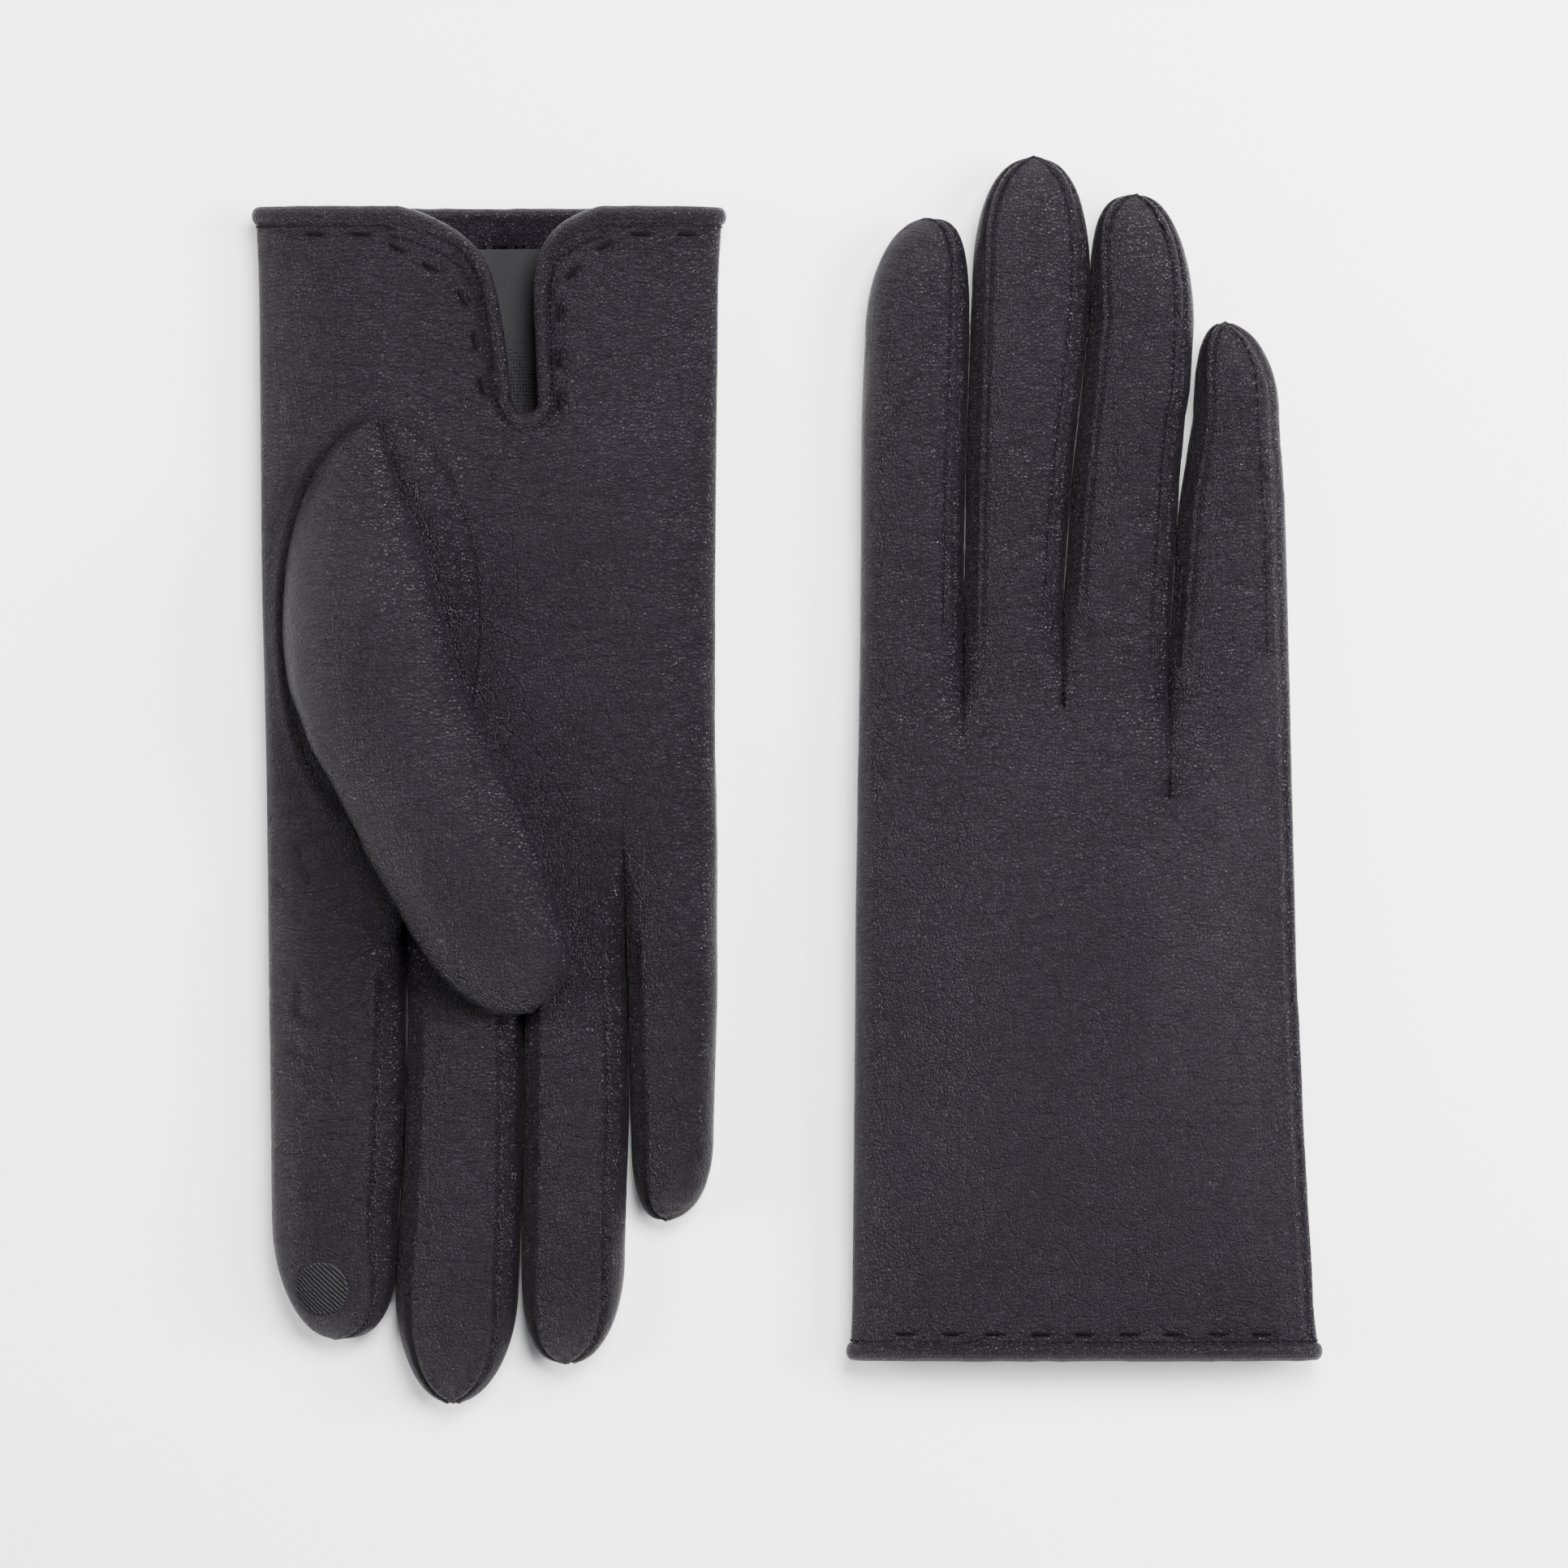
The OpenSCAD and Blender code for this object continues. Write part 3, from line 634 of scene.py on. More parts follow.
def leather_material(name, settings, shade=1.0, creased=1.0):
    """Smooth hair sheep leather: a fine pebble, pores, hairline creases and a soft, uneven shine."""
    s = Shader(name)
    point = s.place()
    bent = s.bend(point, 0.35, 1.1)
    pebble = s.cells(bent, 1 / settings.pore).least(0.16) / 0.16
    fine = s.cells(s.bend(point, 0.2, 3.0), 2.1 / settings.pore).least(0.2) / 0.2
    creases = s.cells(s.bend(s.place((0.8, 1.0, 0.8)), 1.6, 0.35), 0.27).least(0.05) / 0.05
    worn = s.noise(point, 0.035, 3.0, 0.55)
    patches = s.noise(point, 0.3, 4.0, 0.6)
    height = pebble * 0.55 + fine * 0.25 + creases * (0.5 * creased) + patches * 0.5
    deep = (0.0022 * shade, 0.0016 * shade, 0.0030 * shade)
    light = (0.0105 * shade, 0.0076 * shade, 0.0128 * shade)
    colour = s.blend((worn * 0.7 + patches * 0.3) * pebble, deep, light)
    roughness = settings.roughness + 0.16 * (patches - 0.5) + 0.12 * (worn - 0.5) + 0.06 * (1 - pebble)
    return s.finish(height, 0.0009, 1.0, base_color=colour, roughness=roughness, specular_ior_level=0.205,
                    specular_tint=(1.0, 0.96, 1.0, 1.0))


def thread_material(name, tone):
    """Matt sewing thread with a fine twist."""
    s = Shader(name)
    twist = s.noise(s.place((1.0, 1.0, 1.0)), 4.5, 3.0, 0.6)
    colour = s.blend(twist, tuple(0.5 * t for t in tone), tuple(1.3 * t for t in tone))
    return s.finish(twist, 0.00008, 0.8, base_color=colour, roughness=0.7 + 0.2 * twist,
                    specular_ior_level=0.06)


def knit_material():
    """Grey mesh knit: rows of small holes between soft loops, the holes painted near black as shade."""
    s = Shader("mesh_knit")
    bent = s.bend(s.place((1.0, 0.86, 1.0)), 0.12, 0.9)
    holes = s.cells(bent, 1 / 0.62, "F1", 0.25)
    loop = (holes * 2.4).least(1.0)
    fuzz = s.noise(s.place(), 3.5, 3.0)
    # The loops carry the knit's own grey; the near black at the holes is painted shade of the glove's dark
    # inside.
    colour = s.blend(loop * (0.7 + 0.3 * fuzz), (0.0012, 0.0012, 0.0014), (0.019, 0.0185, 0.0205))
    return s.finish(loop + 0.2 * fuzz, 0.0003, 1.0, base_color=colour, roughness=0.9,
                    specular_ior_level=0.1)


def touch_material():
    """Dense satin rows of conductive thread."""
    s = Shader("conductive_thread")
    rows = s.node("ShaderNodeTexWave", {"bands_direction": "DIAGONAL"},
                  {"Vector": s.bend(s.place(), 0.12, 1.0), "Scale": 0.55, "Distortion": 0.4})
    fuzz = s.noise(s.place(), 3.0, 3.0)
    colour = s.blend(rows * 0.6 + fuzz * 0.4, (0.001, 0.0009, 0.0013), (0.006, 0.0054, 0.007))
    return s.finish(rows + 0.4 * fuzz, 0.00018, 0.9, base_color=colour, roughness=0.65,
                    specular_ior_level=0.15)


def floor_material():
    """A plain, pale, matt floor."""
    s = Shader("pale_floor")
    tone = s.noise(s.place(), 0.004, 2.0)
    colour = s.blend(tone, (0.86, 0.86, 0.87), (0.90, 0.90, 0.905))
    return s.finish(s.noise(s.place(), 0.8), 0.00002, 0.2, base_color=colour, roughness=0.7)


MATERIALS = {}


def material(name):
    """A material that the first operator has made."""
    return MATERIALS[name]


# --- The skin of palm, back and fingers ---
class Skin:
    """Palm and back of one glove as one welded mesh, from which each piece takes its faces."""

    def __init__(self, glove, leather, row=0.75, depth=0.0, coarse=1):
        self.glove = glove
        points, quads, labels, seams = [], [], [], []
        offset = 0
        cols = sum(COLUMNS) + 1
        for i in range(4):
            rows_y = self.rows(i, row * coarse)
            hand_rows = self.hand_rows
            for side in (PALM, BACK):
                grid, share = glove.grid(i, side, rows_y, depth)
                faces = grid_faces(len(rows_y), cols, offset)
                r = np.repeat(np.arange(len(rows_y) - 1), cols - 1)
                c = np.tile(np.arange(cols - 1), len(rows_y) - 1)
                label = np.where(r < hand_rows - 1, 0, 1 + i)
                outer = (c < COLUMNS[0]) & (i > 0) | (c >= COLUMNS[0] + COLUMNS[1]) & (i < 3)
                label = np.where((label > 0) & outer, label + 10, label)
                points.append(grid.reshape(-1, 3))
                quads.append(faces if side == PALM else faces[:, ::-1])
                labels.append(label)
                groove = self.seam_relief(i, side, rows_y, grid, share).ravel()
                seams.append(groove * (1 if depth == 0 else 0))
                offset += grid.shape[0] * grid.shape[1]
        points = np.concatenate(points)
        relief = np.concatenate(seams)
        _, first, weld = np.unique(np.round(points, 3), axis=0, return_index=True, return_inverse=True)
        weld = weld.ravel()
        quads = weld[np.concatenate(quads)]
        labels = np.concatenate(labels)
        keep = np.array([len(set(q)) == 4 for q in quads.tolist()])
        self.faces, self.labels = quads[keep], labels[keep]
        self.points = points[first]
        share_relief = np.zeros(len(first))
        np.add.at(share_relief, weld, relief)
        count = np.bincount(weld, minlength=len(first))
        share_relief /= count
        if depth == 0:
            normals = corner_normals(self.points, self.faces)
            share_relief += self.fold_relief(leather, normals)
            self.points = self.points + normals * share_relief[:, None]
        self.normals = corner_normals(self.points, self.faces)

    def rows(self, i, row):
        """y of every row and column of finger i's side, from the cuff to the fingertip."""
        glove = self.glove
        last = glove.slit_rows(i)
        slits = [s[1] for s in glove.pattern["slits"]]
        self.hand_rows = int(np.mean(slits) / row)
        v = np.linspace(0, 1, self.hand_rows)
        hand = 1.7 + (last[None, :] - 1.7) * v[:, None]
        start, _, tip = glove.pattern["tips"][i][:3]
        middle = last.mean()
        body = np.arange(middle, start, row)[1:]
        cap = start + (tip - start) * np.sin(np.linspace(0, 0.488 * np.pi, int(30 * 0.75 / row)))
        free = np.concatenate([body, cap])
        settle = 1 - smooth((free - middle) / 18)
        finger = free[:, None] + (last - middle)[None, :] * settle[:, None]
        return np.concatenate([hand, finger])

    def seam_relief(self, i, side, y, grid, share):
        """Grooves and rolled edges along the seams of a finger."""
        x = grid[..., 0]
        relief = 0 * x
        for right in (0, 1):
            k = i + right
            column = COLUMNS[0] + right * COLUMNS[1]
            if k == 0:
                continue
            if k == 4:
                if side == BACK:
                    edge_x = x[:, -1:]
                    away = np.abs(x - (edge_x - 1.5))
                    relief += -0.3 * bell(away, 0.5) + 0.14 * bell(away - 1.3, 0.8)
                continue
            slit_y = self.glove.slit(k)[1]
            on = smooth((y - slit_y - 0.5) / 4)
            inward = (x[:, column:column + 1] - x) * (1 if right else -1)
            pucker = 1 + 0.25 * np.sin(y * 2 * np.pi / 1.45)
            if side == PALM:
                relief += on * (-0.6 * bell(inward, 0.5) + 0.26 * pucker * bell(inward - 1.4, 1.0))
            else:
                lap = 0.3 * smooth(inward / 0.5 + 0.5) * (1 - smooth((inward - 0.8) / 3))
                relief += on * (lap - 0.6 * bell(inward + 0.3, 0.4) - 0.34 * pucker * bell(inward - 1.6, 0.5))
        fade = smooth((1 - np.abs(share)) / 0.02)
        return relief * fade

    def fold_relief(self, leather, normals):
        """Soft folds, creases, the thumb's seam and the puckers of the hem, over the welded points."""
        x, y = self.points[:, 0], self.points[:, 1]
        up = normals[:, 2]
        palm = smooth(up * 3 + 0.5)
        seed = 20 * self.glove.g
        both = []
        for s in (1, 2):
            n = seed + 4 * s
            soft = 1.5 * (noise(x / 19, y / 27, n) - 0.5) + 0.6 * (noise(x / 8, y / 10, n + 1) - 0.5)
            both.append(soft)
        soft = lerp(both[0], both[1], palm)
        crease = ridges(x / 7.5, y / 4.2, seed + 31) * noise(x / 21, y / 17, seed + 33)
        near_roots = bell(y - 158, 26) + 0.5 * bell(y - 205, 28)
        relief = leather.fold_height * soft - leather.crease_depth * crease * (0.6 + 2.2 * near_roots)
        cells = ridges(x / 4.6 + 0.2 * np.sin(y / 5), y / 4.4, seed + 37)
        relief -= 0.12 * cells * near_roots * smooth((noise(x / 15, y / 13, seed + 40) - 0.35) * 4)
        relief *= smooth(y / 10) * lerp(0.2, 1.0, smooth(np.abs(up) * 1.6))
        oval_y = (self.glove.thumb_y(OVAL_MIDDLE[1]), OVAL_HALF[1] * self.glove.slack)
        ring = np.hypot((x - OVAL_MIDDLE[0]) / OVAL_HALF[0], (y - oval_y[0]) / oval_y[1])
        away = (ring - 1) * 26
        relief += (up > 0.3) * (0.3 * bell(away - 1.7, 1.3) - 0.4 * bell(away + 0.2, 0.45))
        for middle, out, along_x in self.hem_stitches():
            close = (np.abs(x - middle[0]) < 6) & (np.abs(y - middle[1]) < 6) & (up * out > 0)
            dx, dy = x[close] - middle[0], y[close] - middle[1]
            run, cross = dx * along_x[0] + dy * along_x[1], dx * along_x[1] - dy * along_x[0]
            dip = -0.48 * np.exp(-(run / 2.4) ** 4) * bell(cross, 0.9)
            relief[close] += dip + 0.16 * np.exp(-(run / 2.0) ** 4) * bell(np.abs(cross) - 1.8, 0.9)
        return relief

    def hem_stitches(self):
        """(middle, side, direction) of every hem stitch, for the puckers."""
        middles, directions, outs = hem_walk(self.glove)
        return [(m, np.sign(o[2]), d[:2] / max(np.linalg.norm(d[:2]), 1e-6))
                for m, d, o in zip(middles, directions, outs) if abs(o[2]) > 0.5]

    def piece(self, label, thickness):
        """The leather of one label as a closed shell; the hand (0) has its vent and oval cut out."""
        wanted = self.labels == label
        faces = self.faces[wanted]
        if label == 0:
            centre = self.points[faces].mean(axis=1)
            up = self.normals[faces].mean(axis=1)[:, 2]
            hole = in_vent(centre) & (up > 0)
            oval_y = (self.glove.thumb_y(OVAL_MIDDLE[1]), (OVAL_HALF[1] - 1.5) * self.glove.slack)
            ring = np.hypot((centre[:, 0] - OVAL_MIDDLE[0]) / (OVAL_HALF[0] - 1.5),
                            (centre[:, 1] - oval_y[0]) / oval_y[1])
            hole |= (ring < 1) & (up > 0)
            faces = faces[~hole]
        return Solid(self.points, faces, self.normals, thickness)

    def height(self, side, x, y):
        """z of the finished skin near a point, from its nearest vertex."""
        near = (np.abs(self.points[:, 0] - x) < 1.5) & (np.abs(self.points[:, 1] - y) < 1.5)
        near &= self.normals[:, 2] * side > 0
        near = np.nonzero(near)[0]
        d = np.hypot(self.points[near, 0] - x, self.points[near, 1] - y)
        return self.points[near[np.argmin(d)]]


def soften(path, reach):
    """A closed path with its corners rounded, by averaging each point with its neighbours."""
    shifted = [np.roll(path, k, axis=0) for k in range(-reach, reach + 1)]
    return sum(shifted) / len(shifted)


def hem_walk(glove):
    """Middles and directions of the long hem stitches round the cuff and the vent."""
    sewing = bpy.context.scene.glove_sewing
    path, outs = cuff_path(glove, sewing.hem_row, 1.9 + sewing.hem_row, -0.1)
    path = soften(path, 13)

    def keep(points):
        at_end = (points[:, 1] > 42.5) & (points[:, 2] > MID)
        on_edge = np.abs(points[:, 2] - MID) < 2.6
        return ~(at_end | on_edge)

    return walk(path, outs, sewing.hem_pitch, keep)


SKINS = {}


def skin_of(name):
    """The outer skin of a glove, made once."""
    if name not in SKINS:
        SKINS[name] = Skin(Glove(name), bpy.context.scene.glove_leather)
    return SKINS[name]


def hinge(glove):
    """The line that a finger bends about: a point below its root and one beyond it."""
    y = {0: 169.5, 1: 162.5}[glove.g]
    return (0.0, y - 3, MID), (0.0, y + 10, MID)


# --- Operators ---
class GLOVES_OT_materials(bpy.types.Operator):
    """Make leather, thread, knit and floor materials"""
    bl_idname = "gloves.materials"
    bl_label = "Materials"

    def execute(self, context):
        leather = context.scene.glove_leather
        MATERIALS.update({
            "leather": leather_material("black_leather", leather),
            "fourchette": leather_material("fourchette_leather", leather, 0.8),
            "binding": leather_material("binding_leather", leather, 0.9, 0.4),
            "facing": leather_material("facing_leather", leather, 1.3, 0.6),
            "thread": thread_material("machine_thread", (0.004, 0.0036, 0.005)),
            "hem_thread": thread_material("hem_thread", (0.0016, 0.0014, 0.002)),
            "knit": knit_material(),
            "touch": touch_material(),
            "floor": floor_material(),
        })
        return {"FINISHED"}


class GLOVES_OT_hands(bpy.types.Operator):
    """Palm and back of both gloves, with their thumb and vent openings"""
    bl_idname = "gloves.hands"
    bl_label = "Hands"

    def execute(self, context):
        for name in SIDES:
            skin = skin_of(name)
            solid = skin.piece(0, context.scene.glove_leather.thickness)
            show(skin.glove, "hand", solid.points, solid.faces, material("leather"), "hand",
                 solid.normals, ("hand_leather", "finger_roots"))
        return {"FINISHED"}


class GLOVES_OT_fingers(bpy.types.Operator):
    """Finger panels and the fourchettes between them"""
    bl_idname = "gloves.fingers"
    bl_label = "Fingers"

    def execute(self, context):
        thickness = context.scene.glove_leather.thickness
        for name in SIDES:
            skin = skin_of(name)
            for i, finger in enumerate(FINGERS):
                for label, part in ((1 + i, "leather"), (11 + i, "fourchette")):
                    solid = skin.piece(label, thickness)
                    show(skin.glove, f"{finger}_{part}_skin", solid.points, solid.faces, material(part),
                         finger, solid.normals, (f"{finger}_{part}",), hinge(skin.glove))
        return {"FINISHED"}


class GLOVES_OT_linings(bpy.types.Operator):
    """Knitted linings and the hem's facing"""
    bl_idname = "gloves.linings"
    bl_label = "Linings"

    def execute(self, context):
        leather = context.scene.glove_leather
        for name in SIDES:
            glove = Glove(name)
            lining = Skin(glove, leather, depth=1.25, coarse=2)
            solid = lining.piece(0, 0.35)
            deep = solid.faces[solid.points[solid.faces].mean(axis=1)[:, 1] > 7.4]
            show(glove, "hand_knit", solid.points, deep, material("knit"), "hand", solid.normals,
                 ("hand_lining",))
            for i, finger in enumerate(FINGERS):
                faces = lining.faces[(lining.labels == 1 + i) | (lining.labels == 11 + i)]
                part = Solid(lining.points, faces, lining.normals, 0.35)
                show(glove, f"{finger}_knit", part.points, part.faces, material("knit"), finger,
                     part.normals, (f"{finger}_lining",), hinge(glove))
            facing = Skin(glove, leather, depth=1.1, coarse=1).piece(0, 0.5)
            edge = facing.faces[facing.points[facing.faces].mean(axis=1)[:, 1] < 8.6]
            show(glove, "hem_facing_band", facing.points, edge, material("facing"), "hand",
                 facing.normals, ("hem_facing",))
        return {"FINISHED"}


class GLOVES_OT_thumbs(bpy.types.Operator):
    """Thumbs, their bases in the palm, the webs that join them and their quirks"""
    bl_idname = "gloves.thumbs"
    bl_label = "Thumbs"

    def execute(self, context):
        for name in SIDES:
            glove = Glove(name)
            self.thumb(context, glove)
            self.base(context, glove)
            self.web(glove)
            self.quirk(glove)
        return {"FINISHED"}

    @staticmethod
    def rings(glove, inset, rows, cols):
        """Rows of points over the top and the underside of a thumb, from its base to its tip."""
        y = np.concatenate([np.linspace(44.5, 150, rows),
                            150 + 17.9 * np.sin(np.linspace(0, 0.49 * np.pi, rows // 4)[1:])])
        y = np.maximum(y, 44.5 + inset)
        left, right = glove.thumb_edges(y)
        up_oval = (y - OVAL_MIDDLE[1]) / (OVAL_HALF[1] - 0.05)
        oval = OVAL_MIDDLE[0] - (OVAL_HALF[0] - 0.05) * round_off(up_oval, 2)
        left = lerp(np.minimum(oval, left + 3), left, smooth((y - 86) / 22))
        theta = np.linspace(-np.pi / 2, np.pi / 2, cols)
        share = np.sin(theta)[None, :]
        half = np.maximum((right - left) / 2 - inset, 0.1)[:, None]
        x = ((left + right) / 2)[:, None] + half * share
        tip = round_off(np.maximum((y - 148) / 20, 0), 2.3)
        h = glove.thumb_height * (0.2 + 0.8 * smooth((y - 44) / 42)) * tip
        h = h[:, None]
        attach = (1 - smooth((share + 1) / 0.9)) * (1 - smooth((y[:, None] - 92) / 24))
        attach = np.maximum(attach, 1 - smooth((y[:, None] - 46) / 18))
        middle = h / 2 * (1 - 0.86 * attach)
        room = np.maximum(round_off(share, 2.2), 0)
        yy = np.broadcast_to(glove.thumb_y(y)[:, None], x.shape)
        base = glove.surface(PALM, x, yy) + lerp(0.1, 0.45, smooth((yy - 46) / 10))
        lift = inset * 0.9
        top = base + middle + np.maximum(h - middle - lift, 0.02) * room
        under = base + middle - np.maximum(middle - lift, 0.01) * room
        return np.stack([x, yy, top], -1), np.stack([x, yy, under], -1)

    def skin(self, glove, inset, rows, cols):
        """Points and quads round a thumb, inset below its outer skin."""
        top, under = self.rings(glove, inset, rows, cols)
        ring = np.concatenate([top, under[:, -2:0:-1]], axis=1)
        n = ring.shape[1]
        points = ring.reshape(-1, 3)
        faces = grid_faces(len(ring), n, wrap=True)
        return points, faces

    def thumb(self, context, glove):
        """The leather of a thumb, with soft folds, and its knitted lining."""
        leather = context.scene.glove_leather
        points, faces = self.skin(glove, 0.0, 170, 66)
        normals = corner_normals(points, faces)
        x, y = points[:, 0], points[:, 1]
        waves = 1.3 * (noise(x / 13, y / 17, 71) - 0.5) + 0.6 * (noise(x / 6, y / 8, 72) - 0.5)
        relief = leather.fold_height * waves
        relief -= 0.22 * ridges(x / 7 + y / 22, y / 12 - x / 9, 73) * noise(x / 12, y / 12, 74)
        points = points + normals * relief[:, None]
        points[:, 2] = np.where(normals[:, 2] < -0.3, points[:, 2] - relief * normals[:, 2], points[:, 2])
        normals = corner_normals(points, faces)
        solid = Solid(points, faces, normals, leather.thickness)
        show(glove, "thumb", solid.points, solid.faces, material("leather"), "thumb",
             solid.normals, ("thumb_leather",))
        points, faces = self.skin(glove, 1.25, 60, 24)
        solid = Solid(points, faces, corner_normals(points, faces), 0.35)
        show(glove, "thumb_knit", solid.points, solid.faces, material("knit"), "thumb",
             solid.normals, ("thumb_lining",))

    def base(self, context, glove):
        s = np.linspace(1.0, 0.36, 34)[:, None]
        a = np.linspace(0, 2 * np.pi, 160, endpoint=False)[None, :]
        x = OVAL_MIDDLE[0] + OVAL_HALF[0] * s * np.cos(a)
        flat_y = OVAL_MIDDLE[1] + OVAL_HALF[1] * s * np.sin(a)
        y = glove.thumb_y(flat_y)
        right = glove.thumb_edges(flat_y.ravel())[1].reshape(x.shape)
        free = x - right
        bulge = 2.3 * (1 - s ** 2) ** 0.75 * (0.6 + 0.8 * noise(x / 7, y / 9, 81))
        lift = np.minimum(0.08 + bulge, 0.08 + 0.26 * np.maximum(free + 0.6, 0))
        lift = lift - 0.25 * bell((1 - s) * 22, 0.7)
        z = glove.surface(PALM, x, y) + lift
        points = np.stack([x, y, z], -1).reshape(-1, 3)
        faces = grid_faces(34, 160, wrap=True)[:, ::-1]
        normals = corner_normals(points, faces)
        if normals[:, 2].mean() < 0:
            faces, normals = faces[:, ::-1], -normals
        solid = Solid(points, faces, normals, context.scene.glove_leather.thickness)
        show(glove, "thumb_base_skin", solid.points, solid.faces, material("leather"), "hand",
             solid.normals, ("thumb_base",))

    def web(self, glove):
        """Soft leather between the palm and the thumb's underside, folded flat."""
        outline = np.array([(-37, 60), (-30, 51.5), (-23, 52), (-19, 62), (-16, 74), (-12.5, 88), (-7.5, 102),
                            (-4.5, 114), (-12, 122), (-24, 121), (-33, 112), (-38.5, 98)], float)
        t = np.linspace(0, len(outline) - 1, 90)
        path = np.stack([np.interp(t, np.arange(len(outline)), outline[:, k]) for k in (0, 1)], axis=1)
        x, y = path[:, 0], glove.thumb_y(path[:, 1])
        low = glove.surface(PALM, x, y)
        rows = np.linspace(-0.1, 0.55, 12)
        points = np.stack([np.stack([x, y, low + r], axis=1) for r in rows]).reshape(-1, 3)
        faces = grid_faces(12, len(path))
        solid = Solid(points, faces, corner_normals(points, faces), 0.4)
        z = float(low.mean())
        show(glove, "thumb_web", solid.points, solid.faces, material("fourchette"), "thumb",
             solid.normals, (), ((-20.0, 80.0, z + 0.0), (-20.0, 80.0, z + 0.42)))

    def quirk(self, glove):
        corners = np.array([(-32.4, 128.8), (-28.6, 125.4), (-26.6, 131.8)])
        corners[:, 1] = glove.thumb_y(corners[:, 1]) + (1.6 if glove.g else 0)
        u, v = np.meshgrid(np.linspace(0, 1, 12), np.linspace(0, 1, 12))
        flat = corners[0] + (corners[1] - corners[0]) * u[..., None] * v[..., None]
        flat = flat + (corners[2] - corners[0]) * ((1 - u) * v)[..., None]
        puff = 0.25 + 0.55 * (27 * np.clip(u * v * (1 - u) * v * (1 - v), 0, 1)) ** 0.5
        x, y = flat[..., 0], flat[..., 1]
        points = np.stack([x, y, glove.surface(PALM, x, y) + puff], -1).reshape(-1, 3)
        faces = grid_faces(12, 12)[12 - 1:]
        normals = corner_normals(points, faces)
        if normals[:, 2].mean() < 0:
            faces = faces[:, ::-1]
            normals = -normals
        solid = Solid(points, faces, normals, 0.5)
        show(glove, "quirk", solid.points, solid.faces, material("fourchette"), "hand",
             solid.normals, ("thumb_quirk",))


class GLOVES_OT_bindings(bpy.types.Operator):
    """Rolled bindings round the cuffs and vents, with their machine stitching"""
    bl_idname = "gloves.bindings"
    bl_label = "Bindings"

    def execute(self, context):
        sewing = context.scene.glove_sewing
        for name in SIDES:
            glove = Glove(name)
            path, outs = cuff_path(glove, 0.0, 1.9, 0.55)
            deep = smooth((path[:, 1] - 2) / 6)
            points, faces = tube(path, outs, lerp(1.95, 1.55, deep), lerp(1.45, 1.5, deep), bumps=0.1)
            normals = corner_normals(points, faces)
            centre = np.repeat(path, 14, axis=0)
            if ((points - centre) * normals).sum(axis=1).mean() < 0:
                faces, normals = faces[:, ::-1], -normals
            show(glove, "binding", points, faces, material("binding"), "hand", normals,
                 ("cuff_binding",))
            seam, seam_outs = cuff_path(glove, 2.15, 4.15, -0.08)
            middles, directions, ups = walk(seam, seam_outs, sewing.pitch)
            points, faces = capsules(middles, directions, ups, sewing.pitch * 0.72, sewing.thread)
            show(glove, "binding_stitches", points, faces, material("thread"), "hand", None,
                 ("binding_thread",))
        return {"FINISHED"}


class GLOVES_OT_hems(bpy.types.Operator):
    """Long hand-sewn stitches beside the bindings"""
    bl_idname = "gloves.hems"
    bl_label = "Hem stitches"

    def execute(self, context):
        sewing = context.scene.glove_sewing
        for name in SIDES:
            glove = Glove(name)
            middles, directions, ups = hem_walk(glove)
            points, faces = capsules(middles, directions, ups, sewing.hem_length, sewing.hem_thread, 10)
            show(glove, "hem_stitches", points, faces, material("hem_thread"), "hand", None,
                 ("hem_stitching",))
        return {"FINISHED"}


class GLOVES_OT_seams(bpy.types.Operator):
    """Stitch rows along the lapped seams on the backs of the fingers"""
    bl_idname = "gloves.seams"
    bl_label = "Finger seams"

    def execute(self, context):
        sewing = context.scene.glove_sewing
        for name in SIDES:
            skin = skin_of(name)
            glove = skin.glove
            for i, finger in enumerate(FINGERS):
                middles, directions, ups = [], [], []
                for right in (0, 1):
                    if i + right == 0:
                        continue
                    row = self.row(glove, i, right, sewing.pitch)
                    spots = np.array([skin.height(BACK, *p) for p in row])
                    run = np.gradient(spots, axis=0)
                    run /= np.linalg.norm(run, axis=1)[:, None]
                    middles.append(spots + [0, 0, BACK * 0.06])
                    directions.append(run)
                    ups.append(np.tile([0.0, 0.0, float(BACK)], (len(spots), 1)))
                points, faces = capsules(np.concatenate(middles), np.concatenate(directions),
                                         np.concatenate(ups), sewing.pitch * 0.7, sewing.thread)
                show(glove, f"{finger}_seam_stitches", points, faces, material("thread"), finger,
                     None, (), hinge(glove))
        return {"FINISHED"}

    @staticmethod
    def row(glove, i, right, pitch):
        """Stitches of one row as (x, y), inside the seam."""
        tip = glove.pattern["tips"][i][2]
        first = (glove.slit(i + right)[1] if 0 < i + right < 4 else glove.slit(3)[1]) + 5
        y = np.linspace(first, tip - 1.5, 400)
        theta = glove.columns(i, BACK, y)
        column = COLUMNS[0] + right * COLUMNS[1]
        left, far = glove.finger_edge(i, y, False), glove.finger_edge(i, y, True)
        x = (left + far) / 2 + (far - left) / 2 * np.sin(theta[:, column])
        x = x + (-1.6 if right else 1.6)
        length = np.concatenate([[0], np.cumsum(np.hypot(np.diff(x), np.diff(y)))])
        at = np.arange(0, length[-1], pitch)
        return np.stack([np.interp(at, length, x), np.interp(at, length, y)], axis=1)


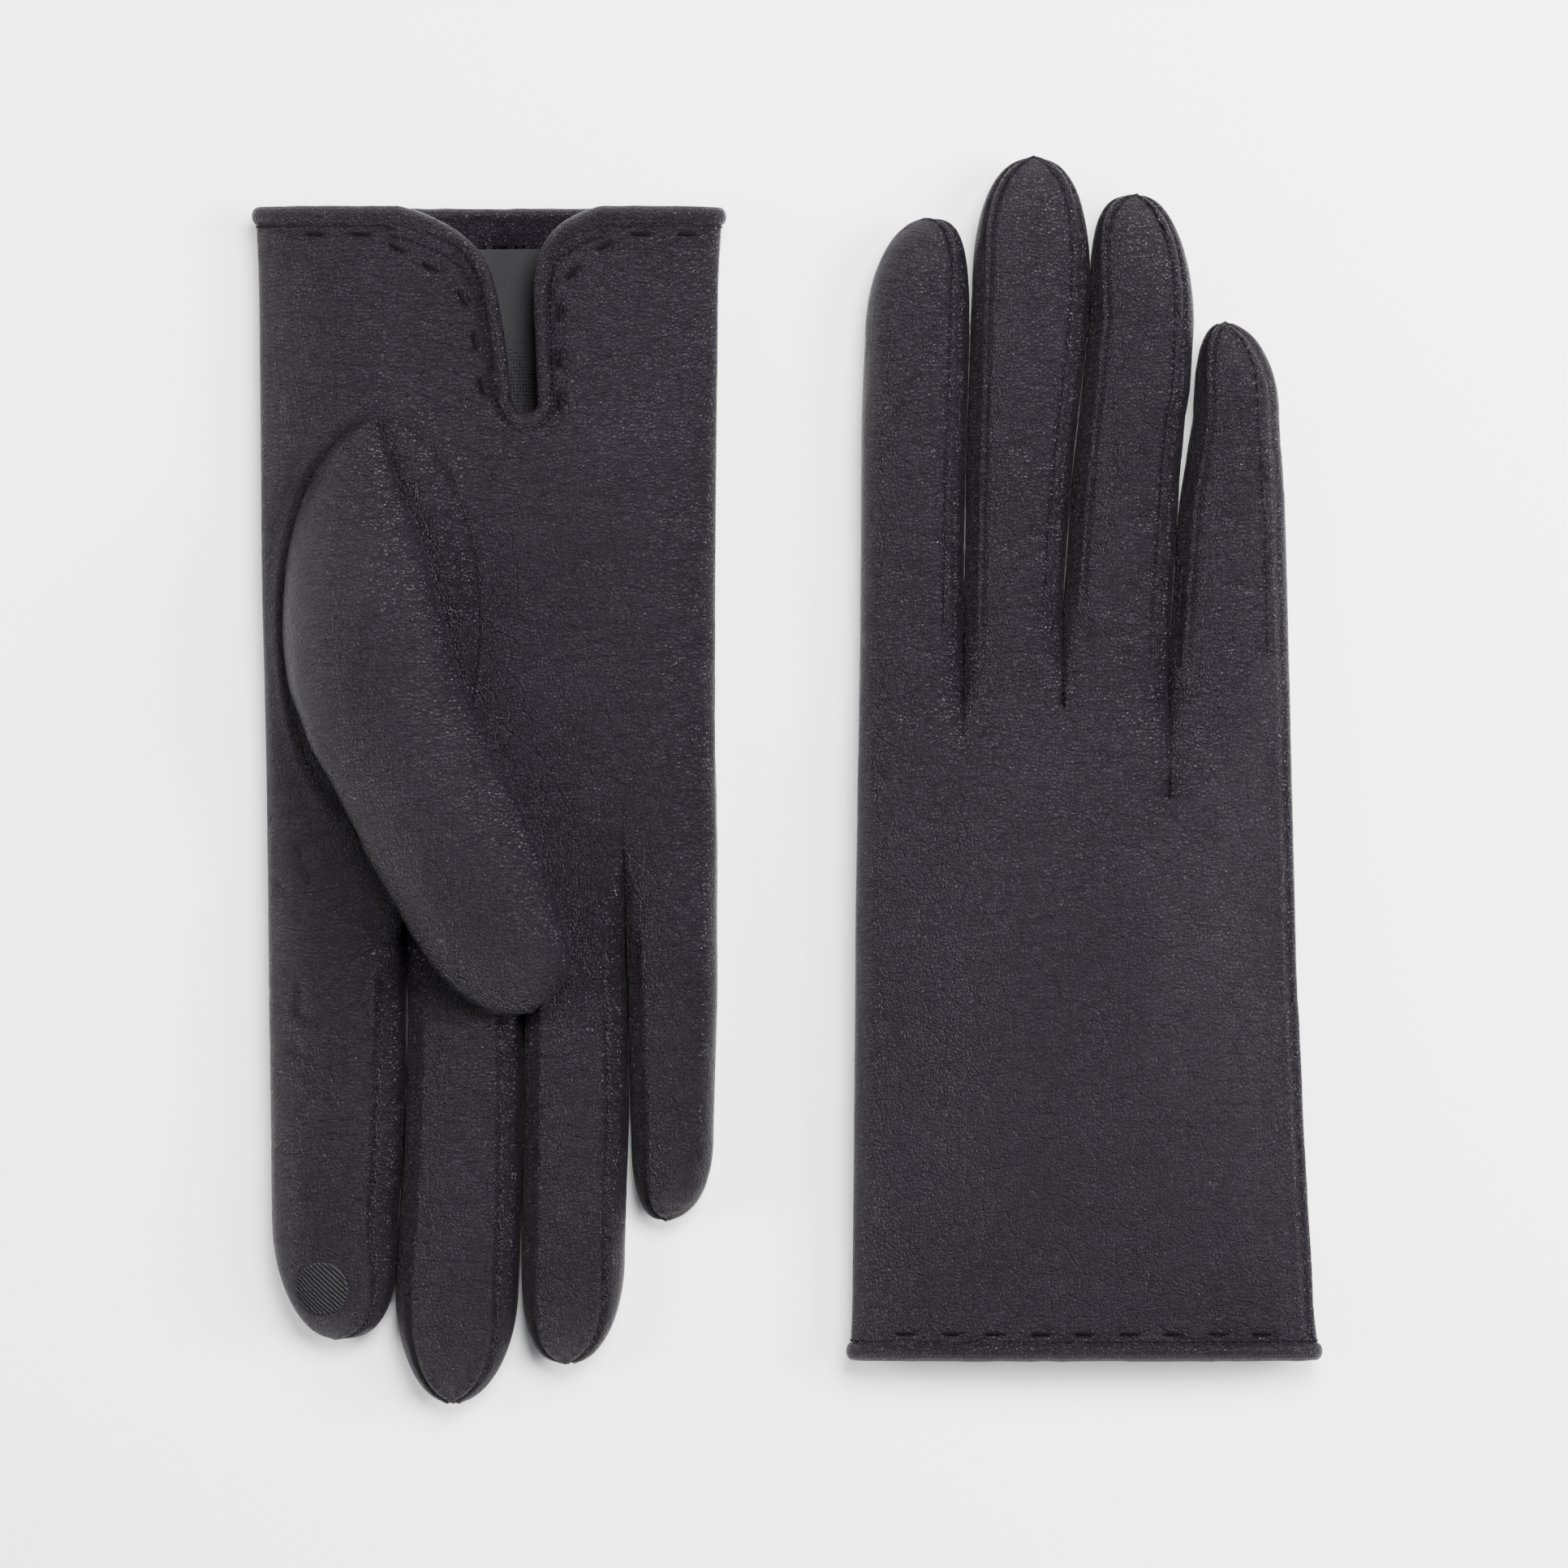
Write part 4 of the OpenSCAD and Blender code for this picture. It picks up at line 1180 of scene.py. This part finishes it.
class GLOVES_OT_patches(bpy.types.Operator):
    """Embroidered touchscreen discs on the index fingertips"""
    bl_idname = "gloves.patches"
    bl_label = "Touch patches"

    def execute(self, context):
        for name in SIDES:
            skin = skin_of(name)
            centre = np.array([(-34.7, 224.4), (-36.2, 226.6)][skin.glove.g])
            radius = 5.6
            rings = np.array([0.02, 0.25, 0.45, 0.62, 0.76, 0.84, 0.88, 0.94, 1.0])
            lift = np.array([0.16, 0.17, 0.17, 0.17, 0.16, 0.12, 0.26, 0.28, 0.05])
            a = np.linspace(0, 2 * np.pi, 72, endpoint=False)
            points = []
            for r, up in zip(rings, lift):
                wobble = 0.03 * np.sin(a * 24) if r > 0.86 else 0
                for angle, w in zip(a, np.broadcast_to(wobble, a.shape)):
                    spot = centre + radius * r * np.array([math.cos(angle), math.sin(angle)])
                    base = skin.height(PALM, *spot)
                    points.append([spot[0], spot[1], base[2] + up + w])
            points = np.array(points)
            faces = grid_faces(len(rings), 72, wrap=True)
            normals = corner_normals(points, faces)
            if normals[:, 2].mean() < 0:
                faces, normals = faces[:, ::-1], -normals
            solid = Solid(points, faces, normals, 0.3)
            show(skin.glove, "touch_disc", solid.points, solid.faces, material("touch"), "index",
                 solid.normals, ("touch_patch",))
        return {"FINISHED"}


class GLOVES_OT_stage(bpy.types.Operator):
    """Pale floor, soft lights and the camera overhead"""
    bl_idname = "gloves.stage"
    bl_label = "Stage"

    def execute(self, context):
        stage = context.scene.glove_stage
        bpy.ops.mesh.primitive_plane_add(size=6)
        floor = context.object
        floor.name = "floor"
        floor.data.materials.append(material("floor"))
        context.scene.world = self.room()
        self.light("key", (0.3, 0.62, 1.05), 0.7, stage.key_power * 3.4)
        self.light("right", (1.0, 0.1, 0.55), 0.6, stage.key_power * 2.4)
        self.light("left", (-1.0, 0.1, 0.5), 0.6, stage.key_power * 0.9)
        camera = bpy.data.objects.new("camera", bpy.data.cameras.new("camera"))
        context.scene.collection.objects.link(camera)
        camera.location = (-0.0007, -0.0001, stage.camera_height)
        camera.data.sensor_width = 36
        camera.data.lens = 36 * (stage.camera_height - 0.011) / stage.view_width
        context.scene.camera = camera
        return {"FINISHED"}

    @staticmethod
    def room():
        """A pale room: bright walls near the horizon under a darker ceiling."""
        world = bpy.data.worlds.new("soft_room")
        world.use_nodes = True
        tree = world.node_tree
        direction = tree.nodes.new("ShaderNodeTexCoord")
        parts = tree.nodes.new("ShaderNodeSeparateXYZ")
        walls = tree.nodes.new("ShaderNodeMapRange")
        walls.interpolation_type = "SMOOTHSTEP"
        walls.inputs["From Min"].default_value = 0.0
        walls.inputs["From Max"].default_value = 0.75
        walls.inputs["To Min"].default_value = 1.1
        walls.inputs["To Max"].default_value = 0.16
        tree.links.new(direction.outputs["Generated"], parts.inputs[0])
        tree.links.new(parts.outputs["Z"], walls.inputs["Value"])
        tree.links.new(walls.outputs["Result"], tree.nodes["Background"].inputs["Strength"])
        tree.nodes["Background"].inputs["Color"].default_value = (0.97, 0.97, 1.0, 1)
        return world

    @staticmethod
    def light(name, place, size, power):
        lamp = bpy.data.lights.new(name, "AREA")
        lamp.size = size
        lamp.energy = power
        obj = bpy.data.objects.new(name, lamp)
        bpy.context.scene.collection.objects.link(obj)
        obj.location = place
        obj.rotation_euler = (-obj.location).to_track_quat("-Z", "Y").to_euler()


OPERATORS = (GLOVES_OT_materials, GLOVES_OT_hands, GLOVES_OT_fingers, GLOVES_OT_linings, GLOVES_OT_thumbs,
             GLOVES_OT_bindings, GLOVES_OT_hems, GLOVES_OT_seams, GLOVES_OT_patches, GLOVES_OT_stage)


class GLOVES_PT_panel(bpy.types.Panel):
    """Lists the steps that make the gloves"""
    bl_label = "Leather gloves"
    bl_idname = "GLOVES_PT_panel"
    bl_space_type = "VIEW_3D"
    bl_region_type = "UI"
    bl_category = "Gloves"

    def draw(self, context):
        for operator in OPERATORS:
            self.layout.operator(operator.bl_idname)


CLASSES = (LeatherSettings, SewingSettings, StageSettings, *OPERATORS, GLOVES_PT_panel)


def register():
    for cls in CLASSES:
        bpy.utils.register_class(cls)
    bpy.types.Scene.glove_leather = bpy.props.PointerProperty(type=LeatherSettings)
    bpy.types.Scene.glove_sewing = bpy.props.PointerProperty(type=SewingSettings)
    bpy.types.Scene.glove_stage = bpy.props.PointerProperty(type=StageSettings)


def unregister():
    del bpy.types.Scene.glove_stage
    del bpy.types.Scene.glove_sewing
    del bpy.types.Scene.glove_leather
    for cls in reversed(CLASSES):
        bpy.utils.unregister_class(cls)


def main():
    register()
    for operator in OPERATORS:
        group, name = operator.bl_idname.split(".")
        getattr(getattr(bpy.ops, group), name)()


if __name__ == "__main__":
    main()
